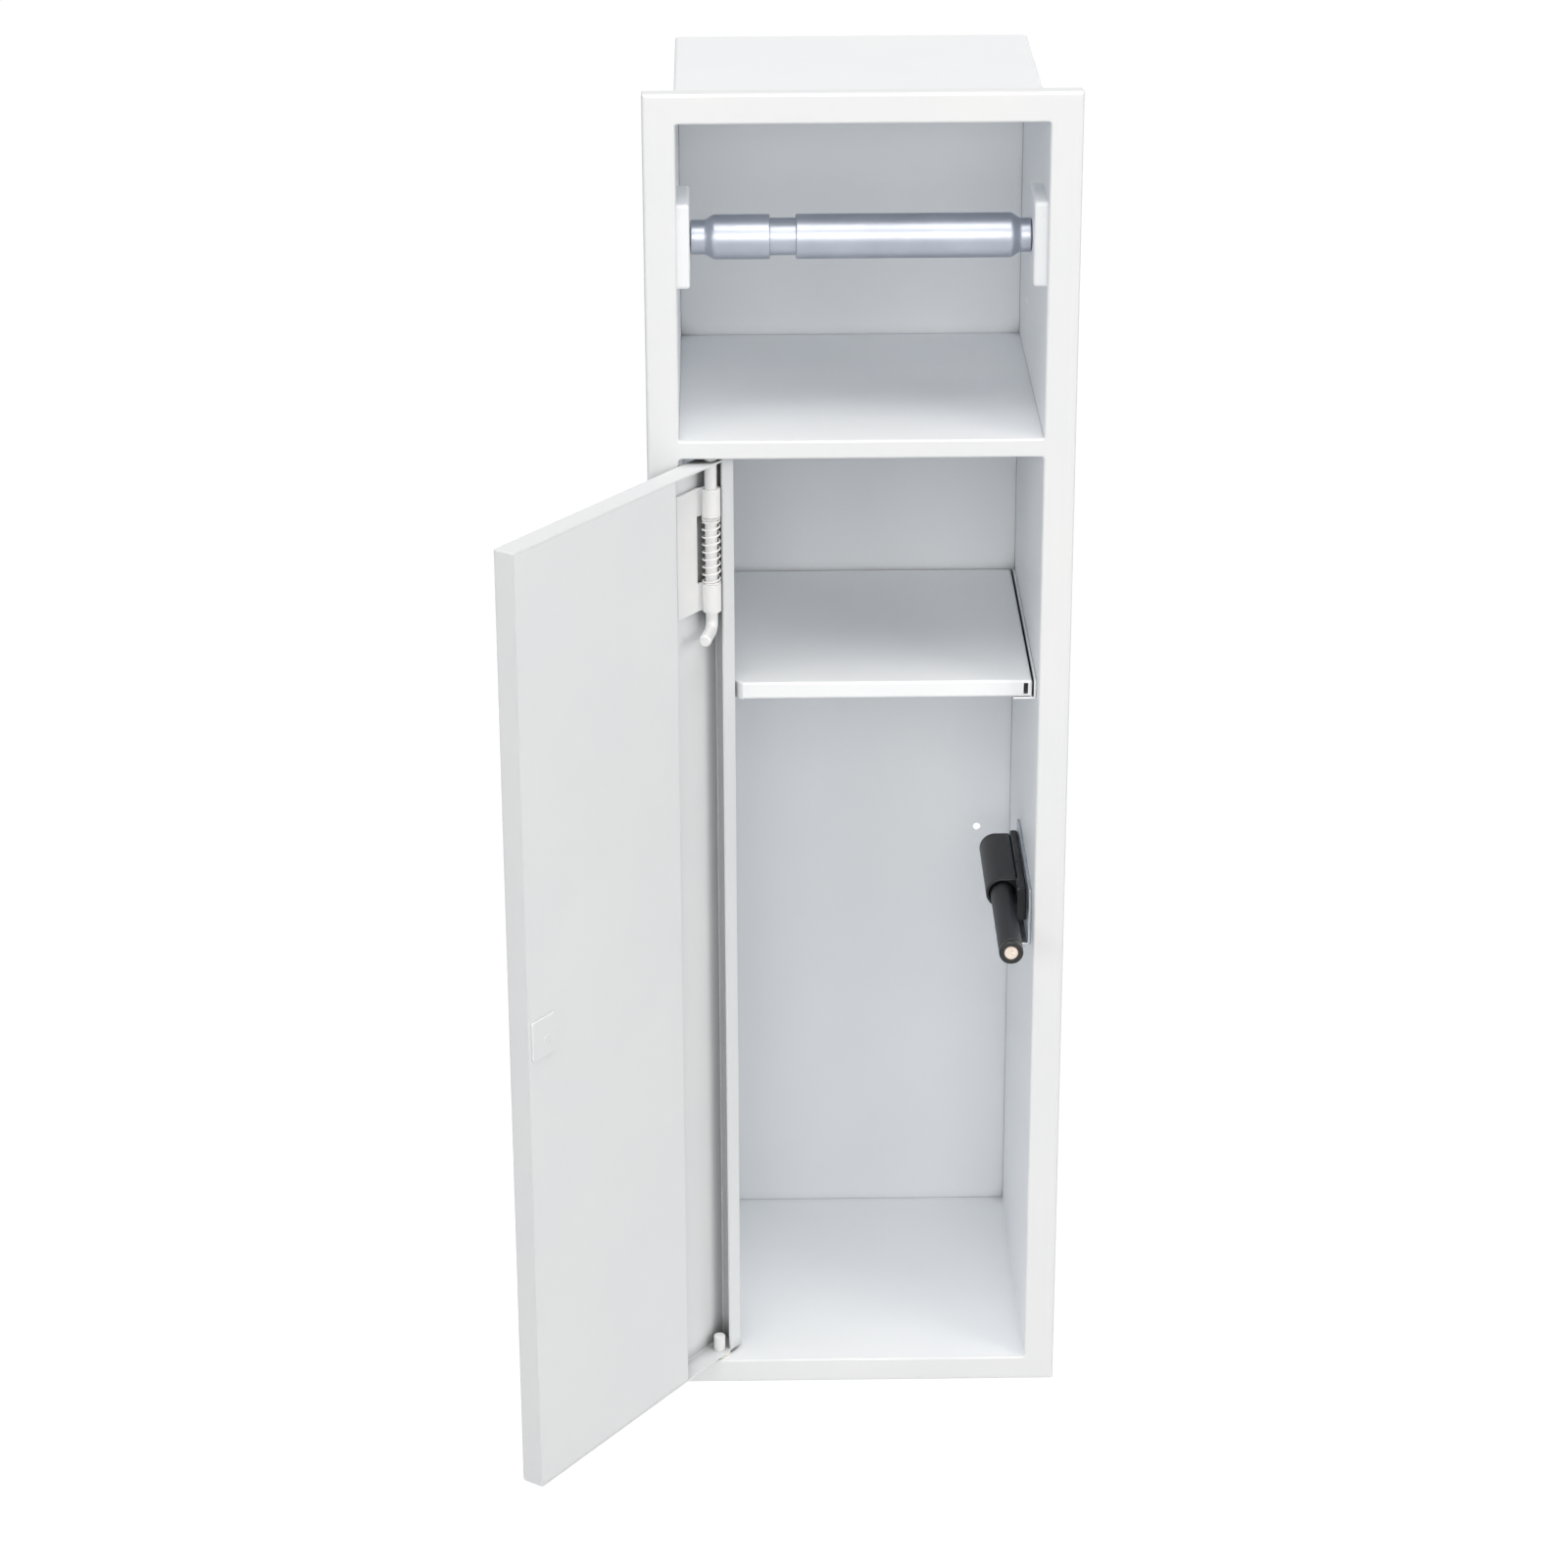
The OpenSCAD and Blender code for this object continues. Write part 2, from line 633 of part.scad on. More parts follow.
// Outline of the shelf drawn in by a distance, with the front left corner cut off at 45 degrees,
// where the door's hinge edge sweeps past
function shelf_outline(inset) =
    let (reach = (pin_offset + inset) * sqrt(2), left = -shelf_half_w + inset, front = shelf_front_y + inset)
    [
        [pin_x + reach - (front - pin_y), front],
        [shelf_half_w - inset, front],
        [shelf_half_w - inset, shelf_back_y - inset],
        [left, shelf_back_y - inset],
        [left, pin_y + reach - (left - pin_x)]
    ];

// Folded tray with a 45 degree corner, a relief slot in its front edge and a second fold under it

module shelf_panel() {
    slot_x = shelf_half_w - box_sheet - slot_w - 1;
    color("#dfe3e7") difference() {
        translate([0, 0, shelf_bottom_z]) linear_extrude(shelf_edge_h) polygon(shelf_outline(0));
        translate([0, 0, shelf_bottom_z - cut]) linear_extrude(shelf_edge_h - box_sheet + cut) difference() {
            polygon(shelf_outline(box_sheet));
            translate([-side_x, shelf_front_y]) square([open_w, shelf_return_w]);
        }
        translate([0, 0, shelf_bottom_z + box_sheet]) linear_extrude(shelf_edge_h - 2 * box_sheet)
            polygon(shelf_outline(box_sheet));
        slab([slot_x, shelf_front_y - cut, shelf_bottom_z + 1.5],
            [slot_x + slot_w, shelf_front_y + box_sheet + cut, shelf_top_z - box_sheet]);
    }
}

// Smooth shoulder of a turned profile, as [radius, place] points from one radius to another
shoulder_steps = 8;
function shoulder(place, length, r0, r1) = [
    for (i = [0:shoulder_steps]) let (t = i / shoulder_steps)
        [r0 + (r1 - r0) * (1 - cos(180 * t)) / 2, place + length * t]
];

// Outside of one roller end, from its end pin's tip, with places counted from the bracket inwards
function roller_end(neck_l) = concat(
    [[0, -tip_l], [tip_r - 0.6, -tip_l], [tip_r, -tip_l + 0.6], [tip_r, seat_gap], [neck_r, seat_gap]],
    shoulder(seat_gap + neck_l, shoulder_l, neck_r, roller_r)
);

// Right half of the roller, bored from its left end for the sleeve
module roller_body() {
    body_l = bracket_x - body_end_x;
    bore_l = bracket_x - body_bore_end_x;
    color("#cdd2d6") translate([bracket_x, roller_y, roller_z]) rotate([0, -90, 0]) difference() {
        rotate_extrude() polygon(concat(roller_end(right_neck_l), [[roller_r, body_l], [0, body_l]]));
        translate([0, 0, bore_l]) cylinder(h = body_l - bore_l + cut, r = telescope_r);
    }
}

// Left half of the roller: its end cap and the tube that slides in the body
module roller_sleeve() {
    cap_l = sleeve_cap_x + bracket_x;
    tube_l = sleeve_end_x + bracket_x;
    color("#cdd2d6") translate([-bracket_x, roller_y, roller_z]) rotate([0, 90, 0])
        rotate_extrude() polygon(concat(roller_end(left_neck_l),
            [[roller_r, cap_l], [tube_r, cap_l], [tube_r, tube_l], [0, tube_l]]));
}

module roller_spring() {
    color("#9a9da1") translate([0, roller_y, roller_z]) rotate([0, 90, 0])
        coil("roller_spring", roller_spring_r, roller_wire_d, sleeve_end_x, body_bore_end_x,
            roller_spring_turns);
}

// Hollow plunger, closed at the front, with the spring inside
module plunger_tube() {
    color("#2a2d38") difference() {
        bar_y(latch_x, tube_front_y, tube_back_y, latch_z, plunger_r);
        bar_y(latch_x, tube_front_y + tube_end_wall, tube_back_y + cut, latch_z, tube_bore_r);
    }
}

module plunger_tip_ring() {
    color("#3b3a39") difference() {
        bar_y(latch_x, tip_y, tube_front_y, latch_z, plunger_r);
        bar_y(latch_x, tip_y - cut, tube_front_y + cut, latch_z, magnet_d / 2 + fixing_gap);
    }
}

module tip_magnet() {
    color("#d9c7b4") bar_y(latch_x, tip_y + 0.3, tube_front_y, latch_z, magnet_d / 2);
}

module latch_spring() {
    start = tube_front_y + tube_end_wall;
    color("#9a9da1") translate([latch_x, 0, latch_z]) rotate([-90, 0, 0])
        coil("latch_spring", latch_spring_r, latch_wire_d, start, housing_back_y - housing_end_wall,
            latch_spring_turns);
}

front_frame();
cabinet_shell();
back_panel();
divider_tray();
shelf_ledge_left();
shelf_ledge_right();
roller_bracket_left();
roller_bracket_right();
top_pivot_bush();
bottom_pivot_bush();
latch_bracket();
latch_base();
latch_housing();
latch_guide_rod();
latch_screws();
door_outer_pan();
door_inner_panel();
hinge_leaf();
bottom_pivot_pin();
pivot_washer();
strike_plate();
strike_screw();
hinge_pin();
pin_clip();
hinge_spring();
shelf_panel();
roller_body();
roller_sleeve();
roller_spring();
plunger_tube();
plunger_tip_ring();
tip_magnet();
latch_spring();
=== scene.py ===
"""Looks of a recessed bathroom niche: an open niche with a roller over a cupboard with a push-latched door.

Sizes are in millimetres in the part's own frame, with X to the right, Y into the wall, Z up and the
origin at the centre of the face frame's back face. Meshes are written in metres.
"""

from __future__ import annotations

import json
import logging
import math
import sys
from dataclasses import dataclass, replace
from enum import Enum
from typing import Callable

import bpy
import numpy as np
from mathutils import Matrix, Vector

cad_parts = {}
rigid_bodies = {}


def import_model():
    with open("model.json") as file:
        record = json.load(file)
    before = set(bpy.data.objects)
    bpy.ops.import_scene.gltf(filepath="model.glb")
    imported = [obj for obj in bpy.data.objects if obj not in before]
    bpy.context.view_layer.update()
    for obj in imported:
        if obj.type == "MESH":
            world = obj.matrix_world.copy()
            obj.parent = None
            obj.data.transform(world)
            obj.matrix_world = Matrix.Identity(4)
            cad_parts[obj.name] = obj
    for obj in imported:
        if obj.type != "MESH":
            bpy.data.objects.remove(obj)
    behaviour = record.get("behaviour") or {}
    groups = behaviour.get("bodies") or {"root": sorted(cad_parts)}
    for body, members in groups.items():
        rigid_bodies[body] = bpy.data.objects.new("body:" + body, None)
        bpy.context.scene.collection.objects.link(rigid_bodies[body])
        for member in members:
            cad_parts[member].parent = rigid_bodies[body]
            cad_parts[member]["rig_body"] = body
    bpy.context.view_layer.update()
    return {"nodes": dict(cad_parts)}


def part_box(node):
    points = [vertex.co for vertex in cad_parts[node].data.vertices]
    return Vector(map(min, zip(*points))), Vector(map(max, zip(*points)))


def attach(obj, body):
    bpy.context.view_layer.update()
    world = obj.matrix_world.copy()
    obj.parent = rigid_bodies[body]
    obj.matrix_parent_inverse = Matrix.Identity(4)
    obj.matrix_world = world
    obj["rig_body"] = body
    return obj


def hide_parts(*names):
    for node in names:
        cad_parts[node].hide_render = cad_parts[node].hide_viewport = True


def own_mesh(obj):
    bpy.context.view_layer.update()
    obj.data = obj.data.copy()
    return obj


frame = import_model()

LOG = logging.getLogger("niche")
MM = 0.001
WELD_DIGITS = 4
LEAST_TURN = 1e-6
ARC_STEPS = 4
FINE_STEPS = 6
# Sockets of a Mix node that mixes colours
MIX_FACTOR, MIX_A, MIX_B, MIX_OUT = 0, 6, 7, 2


# Forms: surfaces worked out on grids


@dataclass(frozen=True)
class Axes:
    """Where a drawing lies: its origin, its two drawing directions and its height direction."""

    across: tuple[float, float, float]
    up: tuple[float, float, float]
    out: tuple[float, float, float]
    origin: tuple[float, float, float] = (0.0, 0.0, 0.0)

    def place(self, drawn: np.ndarray) -> np.ndarray:
        """Carries drawn points to the part's frame: origin + a across + b up + c out."""
        return np.array(self.origin) + drawn @ np.array([self.across, self.up, self.out])


FRONT_VIEW = Axes((1, 0, 0), (0, 0, 1), (0, 1, 0))
SIDE_VIEW = Axes((0, 1, 0), (0, 0, 1), (1, 0, 0))
PLAN_VIEW = Axes((1, 0, 0), (0, 1, 0), (0, 0, 1))


def round_corners(corners: np.ndarray, centre_in: np.ndarray, offset: np.ndarray, closed: bool,
                  steps: int) -> np.ndarray:
    """Draws lines parallel to a line of corners, with an arc at each corner.

    At a corner c the side's normal n turns from n0 to n1, and m = (n0 + n1) / (1 + n0 . n1). The arc's
    centre is c + s m, and the line at offset d has the points c + s m + (d - s) n. A corner that
    doesn't turn gives one point.

    Args:
        corners: (rows, corners, 2) corner points, with the material to the left of the way along.
        centre_in: (rows, corners) distance s of each arc's centre inside the corner.
        offset: (rows,) distance d of each line from the corners' own line.
        closed: whether the last corner joins the first.
        steps: steps of each arc.

    Returns:
        (rows, points, 2) points of the lines.
    """
    ahead = np.roll(corners, -1, axis=1) - corners
    if not closed:
        ahead[:, -1] = ahead[:, -2]
    ahead /= np.linalg.norm(ahead, axis=2, keepdims=True)
    behind = np.roll(ahead, 1, axis=1)
    if not closed:
        behind[:, 0] = ahead[:, 0]
    n0 = np.stack([-behind[..., 1], behind[..., 0]], axis=-1)
    n1 = np.stack([-ahead[..., 1], ahead[..., 0]], axis=-1)
    level = (n0 * n1).sum(-1)
    turn = np.arctan2(n0[..., 0] * n1[..., 1] - n0[..., 1] * n1[..., 0], level)
    angle = np.arctan2(n0[..., 1], n0[..., 0])[..., None] + turn[..., None] * np.linspace(0, 1, steps + 1)
    normal = np.stack([np.cos(angle), np.sin(angle)], axis=-1)
    centre = corners + centre_in[..., None] * (n0 + n1) / (1 + level)[..., None]
    reach = (offset[:, None] - centre_in)[..., None, None]
    points = centre[:, :, None] + reach * normal
    kept = np.ones(points.shape[1:3], bool)
    kept[np.abs(turn[0]) < LEAST_TURN, 1:] = False
    return points[:, kept]


def fold(corners: list[tuple[float, float]], sheet: float, inside: float = 0.4,
         steps: int = 5) -> tuple[np.ndarray, np.ndarray]:
    """Section of a folded sheet: the line of one face and the line of the other.

    Args:
        corners: corners of one face's line, with the sheet's thickness to the left of the way along.
        sheet: thickness of the sheet.
        inside: inside radius of the folds.
        steps: steps of each fold's arc.

    Returns:
        The (points, 2) line of the given face, and that of the other face.
    """
    line = np.array([corners, corners], float)
    ahead = np.diff(line[0], axis=0)
    cross = ahead[:-1, 0] * ahead[1:, 1] - ahead[:-1, 1] * ahead[1:, 0]
    side = np.concatenate([[0.0], np.sign(np.round(cross, 6)), [0.0]])
    centre_in = np.where(side > 0, sheet + inside, np.where(side < 0, -inside, 0.0))
    both = round_corners(line, np.array([centre_in, centre_in]), np.array([0.0, sheet]), False, steps)
    return both[0], both[1]


def carry_round(corners: np.ndarray, profile: np.ndarray, radius: np.ndarray,
                steps: int = ARC_STEPS) -> np.ndarray:
    """Carries a profile round a polygon with rounded corners.

    A row of the profile at inset d and height h, with corner radius r, has the points
    c + (d + r) m - r n at height h, where n turns from one side's inward normal to the next.

    Args:
        corners: (corners, 2) polygon, counter-clockwise, or one such polygon for each row.
        profile: (rows, 2) inset and height of each row.
        radius: (rows,) corner radius of each row.
        steps: steps of each corner's arc.

    Returns:
        (rows, points, 3) grid, closed round the polygon.
    """
    rows = len(profile)
    polygons = np.array(np.broadcast_to(corners, (rows, *np.shape(corners)[-2:])), float)
    centre_in = np.repeat((profile[:, 0] + radius)[:, None], polygons.shape[1], axis=1)
    flat = round_corners(polygons, centre_in, profile[:, 0], True, steps)
    height = np.broadcast_to(profile[:, 1, None, None], (rows, flat.shape[1], 1))
    return np.concatenate([flat, height], axis=2)


def extrude(section: np.ndarray, stations: list[float]) -> np.ndarray:
    """Carries a section line straight along its height direction.

    Args:
        section: (rows, 2) points of the line.
        stations: heights at which the grid has a column.

    Returns:
        (rows, stations, 3) grid.
    """
    rows, columns = len(section), len(stations)
    flat = np.broadcast_to(section[:, None], (rows, columns, 2))
    height = np.broadcast_to(np.array(stations, float)[None, :, None], (rows, columns, 1))
    return np.concatenate([flat, height], axis=2)


def turn(profile: list[tuple[float, float]] | np.ndarray, count: int = 48) -> np.ndarray:
    """Turns a profile about the height axis: (r cos a, r sin a, h).

    Args:
        profile: (rows, 2) radius and height.
        count: points round the axis.

    Returns:
        (rows, count, 3) grid, closed round the axis.
    """
    r, h = np.array(profile, float).T[:, :, None]
    a = np.linspace(0, 2 * np.pi, count, endpoint=False)[None, :]
    return np.stack([r * np.cos(a), r * np.sin(a), h + 0 * a], axis=-1)


def tube(path: np.ndarray, side: np.ndarray, radius: np.ndarray, count: int) -> np.ndarray:
    """Rings along a path: point + r (cos a side + sin a (way x side)).

    Args:
        path: (points, 3) centre line.
        side: (points, 3) directions across the path.
        radius: (points,) radius of each ring.
        count: points of each ring.

    Returns:
        (points, count, 3) grid, closed round the path.
    """
    way = np.gradient(path, axis=0)
    way /= np.linalg.norm(way, axis=1, keepdims=True)
    first = side - (side * way).sum(1, keepdims=True) * way
    first /= np.linalg.norm(first, axis=1, keepdims=True)
    second = np.cross(way, first)
    a = np.linspace(0, 2 * np.pi, count, endpoint=False)[None, :, None]
    ring = np.cos(a) * first[:, None] + np.sin(a) * second[:, None]
    return path[:, None] + radius[:, None, None] * ring


def shoulder(place: float, length: float, r0: float, r1: float,
             steps: int = 10) -> list[tuple[float, float]]:
    """Smooth shoulder of a turned profile: r = r0 + (r1 - r0) (1 - cos(pi t)) / 2 at place + length t."""
    t = np.linspace(0, 1, steps + 1)
    return list(zip(r0 + (r1 - r0) * (1 - np.cos(np.pi * t)) / 2, place + length * t))


def rounding(r: float, h: float, size: float, quarter: int, steps: int = 4) -> list[tuple[float, float]]:
    """Quarter round of a turned profile, from its first to its last point.

    Args:
        r: radius of the sharp corner.
        h: height of the sharp corner.
        size: radius of the round.
        quarter: 0 from a low face out to a side, 1 from a side in to a high face.
        steps: steps of the round.

    Returns:
        Points (radius, height).
    """
    a = np.linspace(-np.pi / 2, 0, steps + 1) + quarter * np.pi / 2
    middle = h + size if quarter == 0 else h - size
    return list(zip(r - size + size * np.cos(a), middle + size * np.sin(a)))


@dataclass(frozen=True)
class Bore:
    """A round hole through a sheet, inside one cell of its grids."""

    row: int
    column: int
    centre: tuple[float, float, float]
    radius: float
    count: int = 32


@dataclass(frozen=True)
class Patch:
    """Part of a sheet: a grid of its one face and the matching grid of its other face.

    A closed patch joins its last column to its first, a cap closes its row 0 or -1 with a flat face,
    cut names the (row, column) of cells that are cut out, and bores are round holes.
    """

    front: np.ndarray
    back: np.ndarray
    closed: bool = False
    cap: int | None = None
    cut: tuple[tuple[int, int], ...] = ()
    bores: tuple[Bore, ...] = ()

    def cells(self, index: np.ndarray) -> tuple[np.ndarray, np.ndarray, np.ndarray]:
        """Corners of the patch's cells.

        Args:
            index: (rows, columns) number of each point.

        Returns:
            The (rows, columns, 4) corners, which cells are plain, and which are plain or bored.
        """
        right = np.roll(index, -1, 1)
        corners = np.stack([index[:-1], right[:-1], right[1:], index[1:]], axis=-1)
        if not self.closed:
            corners = corners[:, :-1]
        kept = np.ones(corners.shape[:2], bool)
        for row, column in self.cut:
            kept[row, column] = False
        plain = kept.copy()
        for bore in self.bores:
            plain[bore.row, bore.column] = False
        return corners, plain, kept


class Shape:
    """Closed shells of one piece, with points in millimetres and faces that look outwards."""

    def __init__(self) -> None:
        """Starts with no shells."""
        self.points = np.zeros((0, 3))
        self.faces: list[list[int]] = []

    def add(self, points: np.ndarray, faces: list[list[int]], place: Callable | None = None) -> "Shape":
        """Adds a closed shell, and turns it round if its volume comes out negative.

        Args:
            points: (points, 3) in the drawing's own axes.
            faces: corners of each face.
            place: carries the points to the part's frame.

        Returns:
            This shape.
        """
        placed = place(points) if place else points
        fans = np.array([(f[0], f[k], f[k + 1]) for f in faces for k in range(1, len(f) - 1)])
        a, b, c = (placed[fans[:, k]] for k in range(3))
        if (a * np.cross(b, c)).sum() < 0:
            faces = [f[::-1] for f in faces]
        start = len(self.points)
        self.points = np.concatenate([self.points, placed])
        self.faces += [[start + k for k in f] for f in faces]
        return self

    def solid(self, grid: np.ndarray, place: Callable | None = None, ring: bool = False) -> "Shape":
        """Adds a grid that is closed round its columns.

        Args:
            grid: (rows, columns, 3) points.
            place: carries the points to the part's frame.
            ring: joins the last row to the first. Otherwise both end rows get a flat cap.

        Returns:
            This shape.
        """
        rows, columns = grid.shape[:2]
        index = np.arange(rows * columns).reshape(rows, columns)
        low = index if ring else index[:-1]
        high = np.roll(index, -1, axis=0) if ring else index[1:]
        quads = np.stack([low, np.roll(low, -1, 1), np.roll(high, -1, 1), high], axis=-1)
        faces = quads.reshape(-1, 4).tolist()
        if not ring:
            faces += [index[0, ::-1].tolist(), index[-1].tolist()]
        return self.add(grid.reshape(-1, 3), faces, place)

    def sheet(self, patches: list[Patch], place: Callable | None = None) -> "Shape":
        """Adds a sheet made of patches that share their edges, with walls round its own edges.

        Points of the patches' first faces that coincide become one. An edge that only one cell or
        cap uses is an edge of the sheet, and gets a wall to the other face.

        Args:
            patches: the sheet's patches, with columns all counter-clockwise or all clockwise.
            place: carries the points to the part's frame.

        Returns:
            This shape.
        """
        fronts = np.concatenate([patch.front.reshape(-1, 3) for patch in patches])
        backs = np.concatenate([patch.back.reshape(-1, 3) for patch in patches])
        rounded = np.round(fronts, WELD_DIGITS) + 0.0
        _, first, weld = np.unique(rounded, axis=0, return_index=True, return_inverse=True)
        shift = len(first)
        points = np.concatenate([fronts[first], backs[first]])
        marks = np.cumsum([0] + [patch.front[..., 0].size for patch in patches])
        near: list[list[int]] = []
        edges: list[np.ndarray] = []
        bored: list[tuple[np.ndarray, Bore]] = []
        for patch, mark in zip(patches, marks):
            index = weld.reshape(-1)[mark:mark + patch.front[..., 0].size].reshape(patch.front.shape[:2])
            cells, drawn, kept = patch.cells(index)
            near += cells[drawn].tolist()
            loops = [cells[kept]]
            if patch.cap is not None:
                loops.append(index[patch.cap, ::-1 if patch.cap == 0 else 1][None])
                near.append(loops[-1][0].tolist())
            edges += [np.stack([loop, np.roll(loop, -1, axis=1)], axis=-1).reshape(-1, 2) for loop in loops]
            bored += [(cells[bore.row, bore.column], bore) for bore in patch.bores]
        near = [f for f in (list(dict.fromkeys(f)) for f in near) if len(f) > 2]
        faces = near + [[k + shift for k in f[::-1]] for f in near]
        ways = np.concatenate(edges)
        ways = ways[ways[:, 0] != ways[:, 1]]
        bare = ways[~np.isin(ways @ (shift, 1), ways @ (1, shift))]
        a, b = bare.T
        faces += np.stack([b, a, a + shift, b + shift], axis=-1).tolist()
        for cell, bore in bored:
            points, more = self.bored(points, cell, shift, bore)
            faces += more
        return self.add(points, faces, place)

    @staticmethod
    def bored(points: np.ndarray, cell: np.ndarray, shift: int,
              bore: Bore) -> tuple[np.ndarray, list[list[int]]]:
        """Fills a cell of a sheet round a bore: centre + r (cos a u + sin a v) in both faces' planes.

        Args:
            points: the sheet's points.
            cell: indices of the cell's corners in the first face.
            shift: how far on the second face's indices are.
            bore: the round hole.

        Returns:
            The points with the bore's two rings, and the faces of the cell and of the bore's wall.
        """
        a, b, d = (points[cell[k]] for k in (0, 1, 3))
        u = (b - a) / np.linalg.norm(b - a)
        v = d - a - ((d - a) @ u) * u
        v /= np.linalg.norm(v)
        w = np.cross(u, v)
        count = bore.count
        angle = np.linspace(0, 2 * np.pi, count, endpoint=False)[:, None]
        ring = bore.radius * (np.cos(angle) * u + np.sin(angle) * v)
        centre = np.array(bore.centre)
        first = centre + ((a - centre) @ w) * w + ring
        second = centre + ((points[cell[0] + shift] - centre) @ w) * w + ring
        start = len(points)
        # the ring's points on the diagonals, one for each corner of the cell
        marks = [count * k // 8 for k in (5, 7, 1, 3)]
        faces: list[list[int]] = []
        for k in range(4):
            at, to = marks[k], marks[(k + 1) % 4]
            arc = [(at + s) % count for s in range((to - at) % count + 1)]
            p, q = int(cell[k]), int(cell[(k + 1) % 4])
            faces.append([p, q] + [start + s for s in arc[::-1]])
            faces.append([q + shift, p + shift] + [start + count + s for s in arc])
        near = start + np.arange(count)
        after = start + (np.arange(count) + 1) % count
        faces += np.stack([near, after, after + count, near + count], axis=-1).tolist()
        return np.concatenate([points, first, second]), faces

    def mirrored(self) -> "Shape":
        """A copy on the other side of the plane x = 0."""
        return Shape().add(self.points * (-1, 1, 1), [list(f) for f in self.faces])


# Finishes


def linear(hex_colour: str) -> tuple[float, float, float, float]:
    """Turns an sRGB hex colour such as #EDEDED to linear red, green, blue and alpha."""
    values = [int(hex_colour[k:k + 2], 16) / 255 for k in (1, 3, 5)]
    return tuple(v / 12.92 if v <= 0.04045 else ((v + 0.055) / 1.055) ** 2.4 for v in values) + (1.0,)


def add_node(tree: bpy.types.NodeTree, kind: str, inputs: dict | None = None,
             **settings: object) -> bpy.types.Node:
    """Adds a node with its settings and links.

    Args:
        tree: node tree that takes it.
        kind: type of the node.
        inputs: input name or number to a value, or to the output socket that is linked to it.
        settings: attributes of the node.

    Returns:
        The node.
    """
    new = tree.nodes.new(kind)
    for name, value in settings.items():
        setattr(new, name, value)
    for name, value in (inputs or {}).items():
        if isinstance(value, bpy.types.NodeSocket):
            tree.links.new(value, new.inputs[name])
        else:
            new.inputs[name].default_value = value
    return new


class Texture(Enum):
    """How a surface was made, as the stretch of its grain along X, Y and Z."""

    ORANGE_PEEL = (1.0, 1.0, 1.0)
    SPARK_GRAIN = (1.6, 1.6, 1.6)
    DRAWN = (1.0, 1.0, 0.04)
    PLATED = (0.5, 0.5, 0.5)


@dataclass(frozen=True)
class Finish:
    """A finish, from what the surface is made of and how."""

    name: str
    slot: str
    colour: str
    shade: str
    roughness: tuple[float, float]
    texture: Texture
    grain: float
    relief: float
    patch: float = 70.0
    metallic: float = 0.0
    ior: float = 1.5
    clear_coat: float = 0.0
    # Painted shade: ambient occlusion darkens the colour in gaps and inner corners, out to a reach in mm
    # and down to a tone
    painted_shade_reach: float = 0.0
    painted_shade_tone: float = 0.12
    painted_shade_shut: float = 0.1
    painted_shade_open: float = 0.4
    painted_shade_samples: int = 6
    drift_span: tuple[float, float] = (0.35, 0.65)
    drift_detail: float = 3.0
    drift_roughness: float = 0.55
    grain_span: tuple[float, float] = (0.3, 0.7)
    grain_detail: float = 2.0

    def paint_crevice_shade(self, tree: bpy.types.NodeTree, tint: bpy.types.NodeSocket) -> bpy.types.NodeSocket:
        """Paints shade into a colour in crevices, where the surface sees nothing beyond the shade's reach.

        Args:
            tree: the material's node tree.
            tint: the colour in the open.

        Returns:
            The colour, times a painted shade factor that falls from 1 to the shade's tone as openness
            falls.
        """
        if not self.painted_shade_reach:
            return tint
        near = add_node(tree, "ShaderNodeAmbientOcclusion", {"Distance": self.painted_shade_reach * MM},
                        samples=self.painted_shade_samples)
        ramp = add_node(tree, "ShaderNodeMapRange", {"Value": near.outputs["AO"],
                                                     "From Min": self.painted_shade_shut,
                                                     "From Max": self.painted_shade_open,
                                                     "To Min": self.painted_shade_tone})
        shade = add_node(tree, "ShaderNodeMix",
                         {MIX_FACTOR: 1.0, MIX_A: tint, MIX_B: ramp.outputs["Result"]},
                         data_type="RGBA", blend_type="MULTIPLY")
        return shade.outputs[MIX_OUT]

    def material(self) -> bpy.types.Material:
        """Builds the finish's material once.

        Returns:
            A Principled material: a slow drift of colour, a finer drift of roughness, and the
            relief of the surface's own grain as bump.
        """
        found = bpy.data.materials.get(self.name)
        if found:
            return found
        made = bpy.data.materials.new(self.name)
        made.use_nodes = True
        tree = made.node_tree
        tree.nodes.clear()
        place = add_node(tree, "ShaderNodeTexCoord").outputs["Object"]
        drift = add_node(tree, "ShaderNodeTexNoise", {"Vector": place, "Scale": 1 / (self.patch * MM),
                                                      "Detail": self.drift_detail,
                                                      "Roughness": self.drift_roughness})
        ramp = add_node(tree, "ShaderNodeMapRange", {"Value": drift.outputs["Fac"],
                                                     "From Min": self.drift_span[0],
                                                     "From Max": self.drift_span[1]})
        tint = add_node(tree, "ShaderNodeMix", {MIX_FACTOR: ramp.outputs["Result"],
                                                MIX_A: linear(self.colour),
                                                MIX_B: linear(self.shade)}, data_type="RGBA")
        stretch = add_node(tree, "ShaderNodeMapping", {"Vector": place, "Scale": self.texture.value})
        fine = add_node(tree, "ShaderNodeTexNoise", {"Vector": stretch.outputs["Vector"],
                                                     "Scale": 1 / (self.grain * MM),
                                                     "Detail": self.grain_detail})
        rub = add_node(tree, "ShaderNodeMapRange", {"Value": fine.outputs["Fac"],
                                                    "From Min": self.grain_span[0],
                                                    "From Max": self.grain_span[1],
                                                    "To Min": self.roughness[0],
                                                    "To Max": self.roughness[1]})
        bump = add_node(tree, "ShaderNodeBump", {"Height": fine.outputs["Fac"], "Strength": 1.0,
                                                 "Distance": self.relief * MM})
        # The base colour carries painted shade in crevices, where the finish gives it a reach
        shader = add_node(tree, "ShaderNodeBsdfPrincipled", {
            "Base Color": self.paint_crevice_shade(tree, tint.outputs[MIX_OUT]), "Roughness": rub.outputs["Result"],
            "Normal": bump.outputs["Normal"], "Metallic": self.metallic, "IOR": self.ior,
            "Coat Weight": self.clear_coat})
        add_node(tree, "ShaderNodeOutputMaterial", {"Surface": shader.outputs["BSDF"]})
        return made
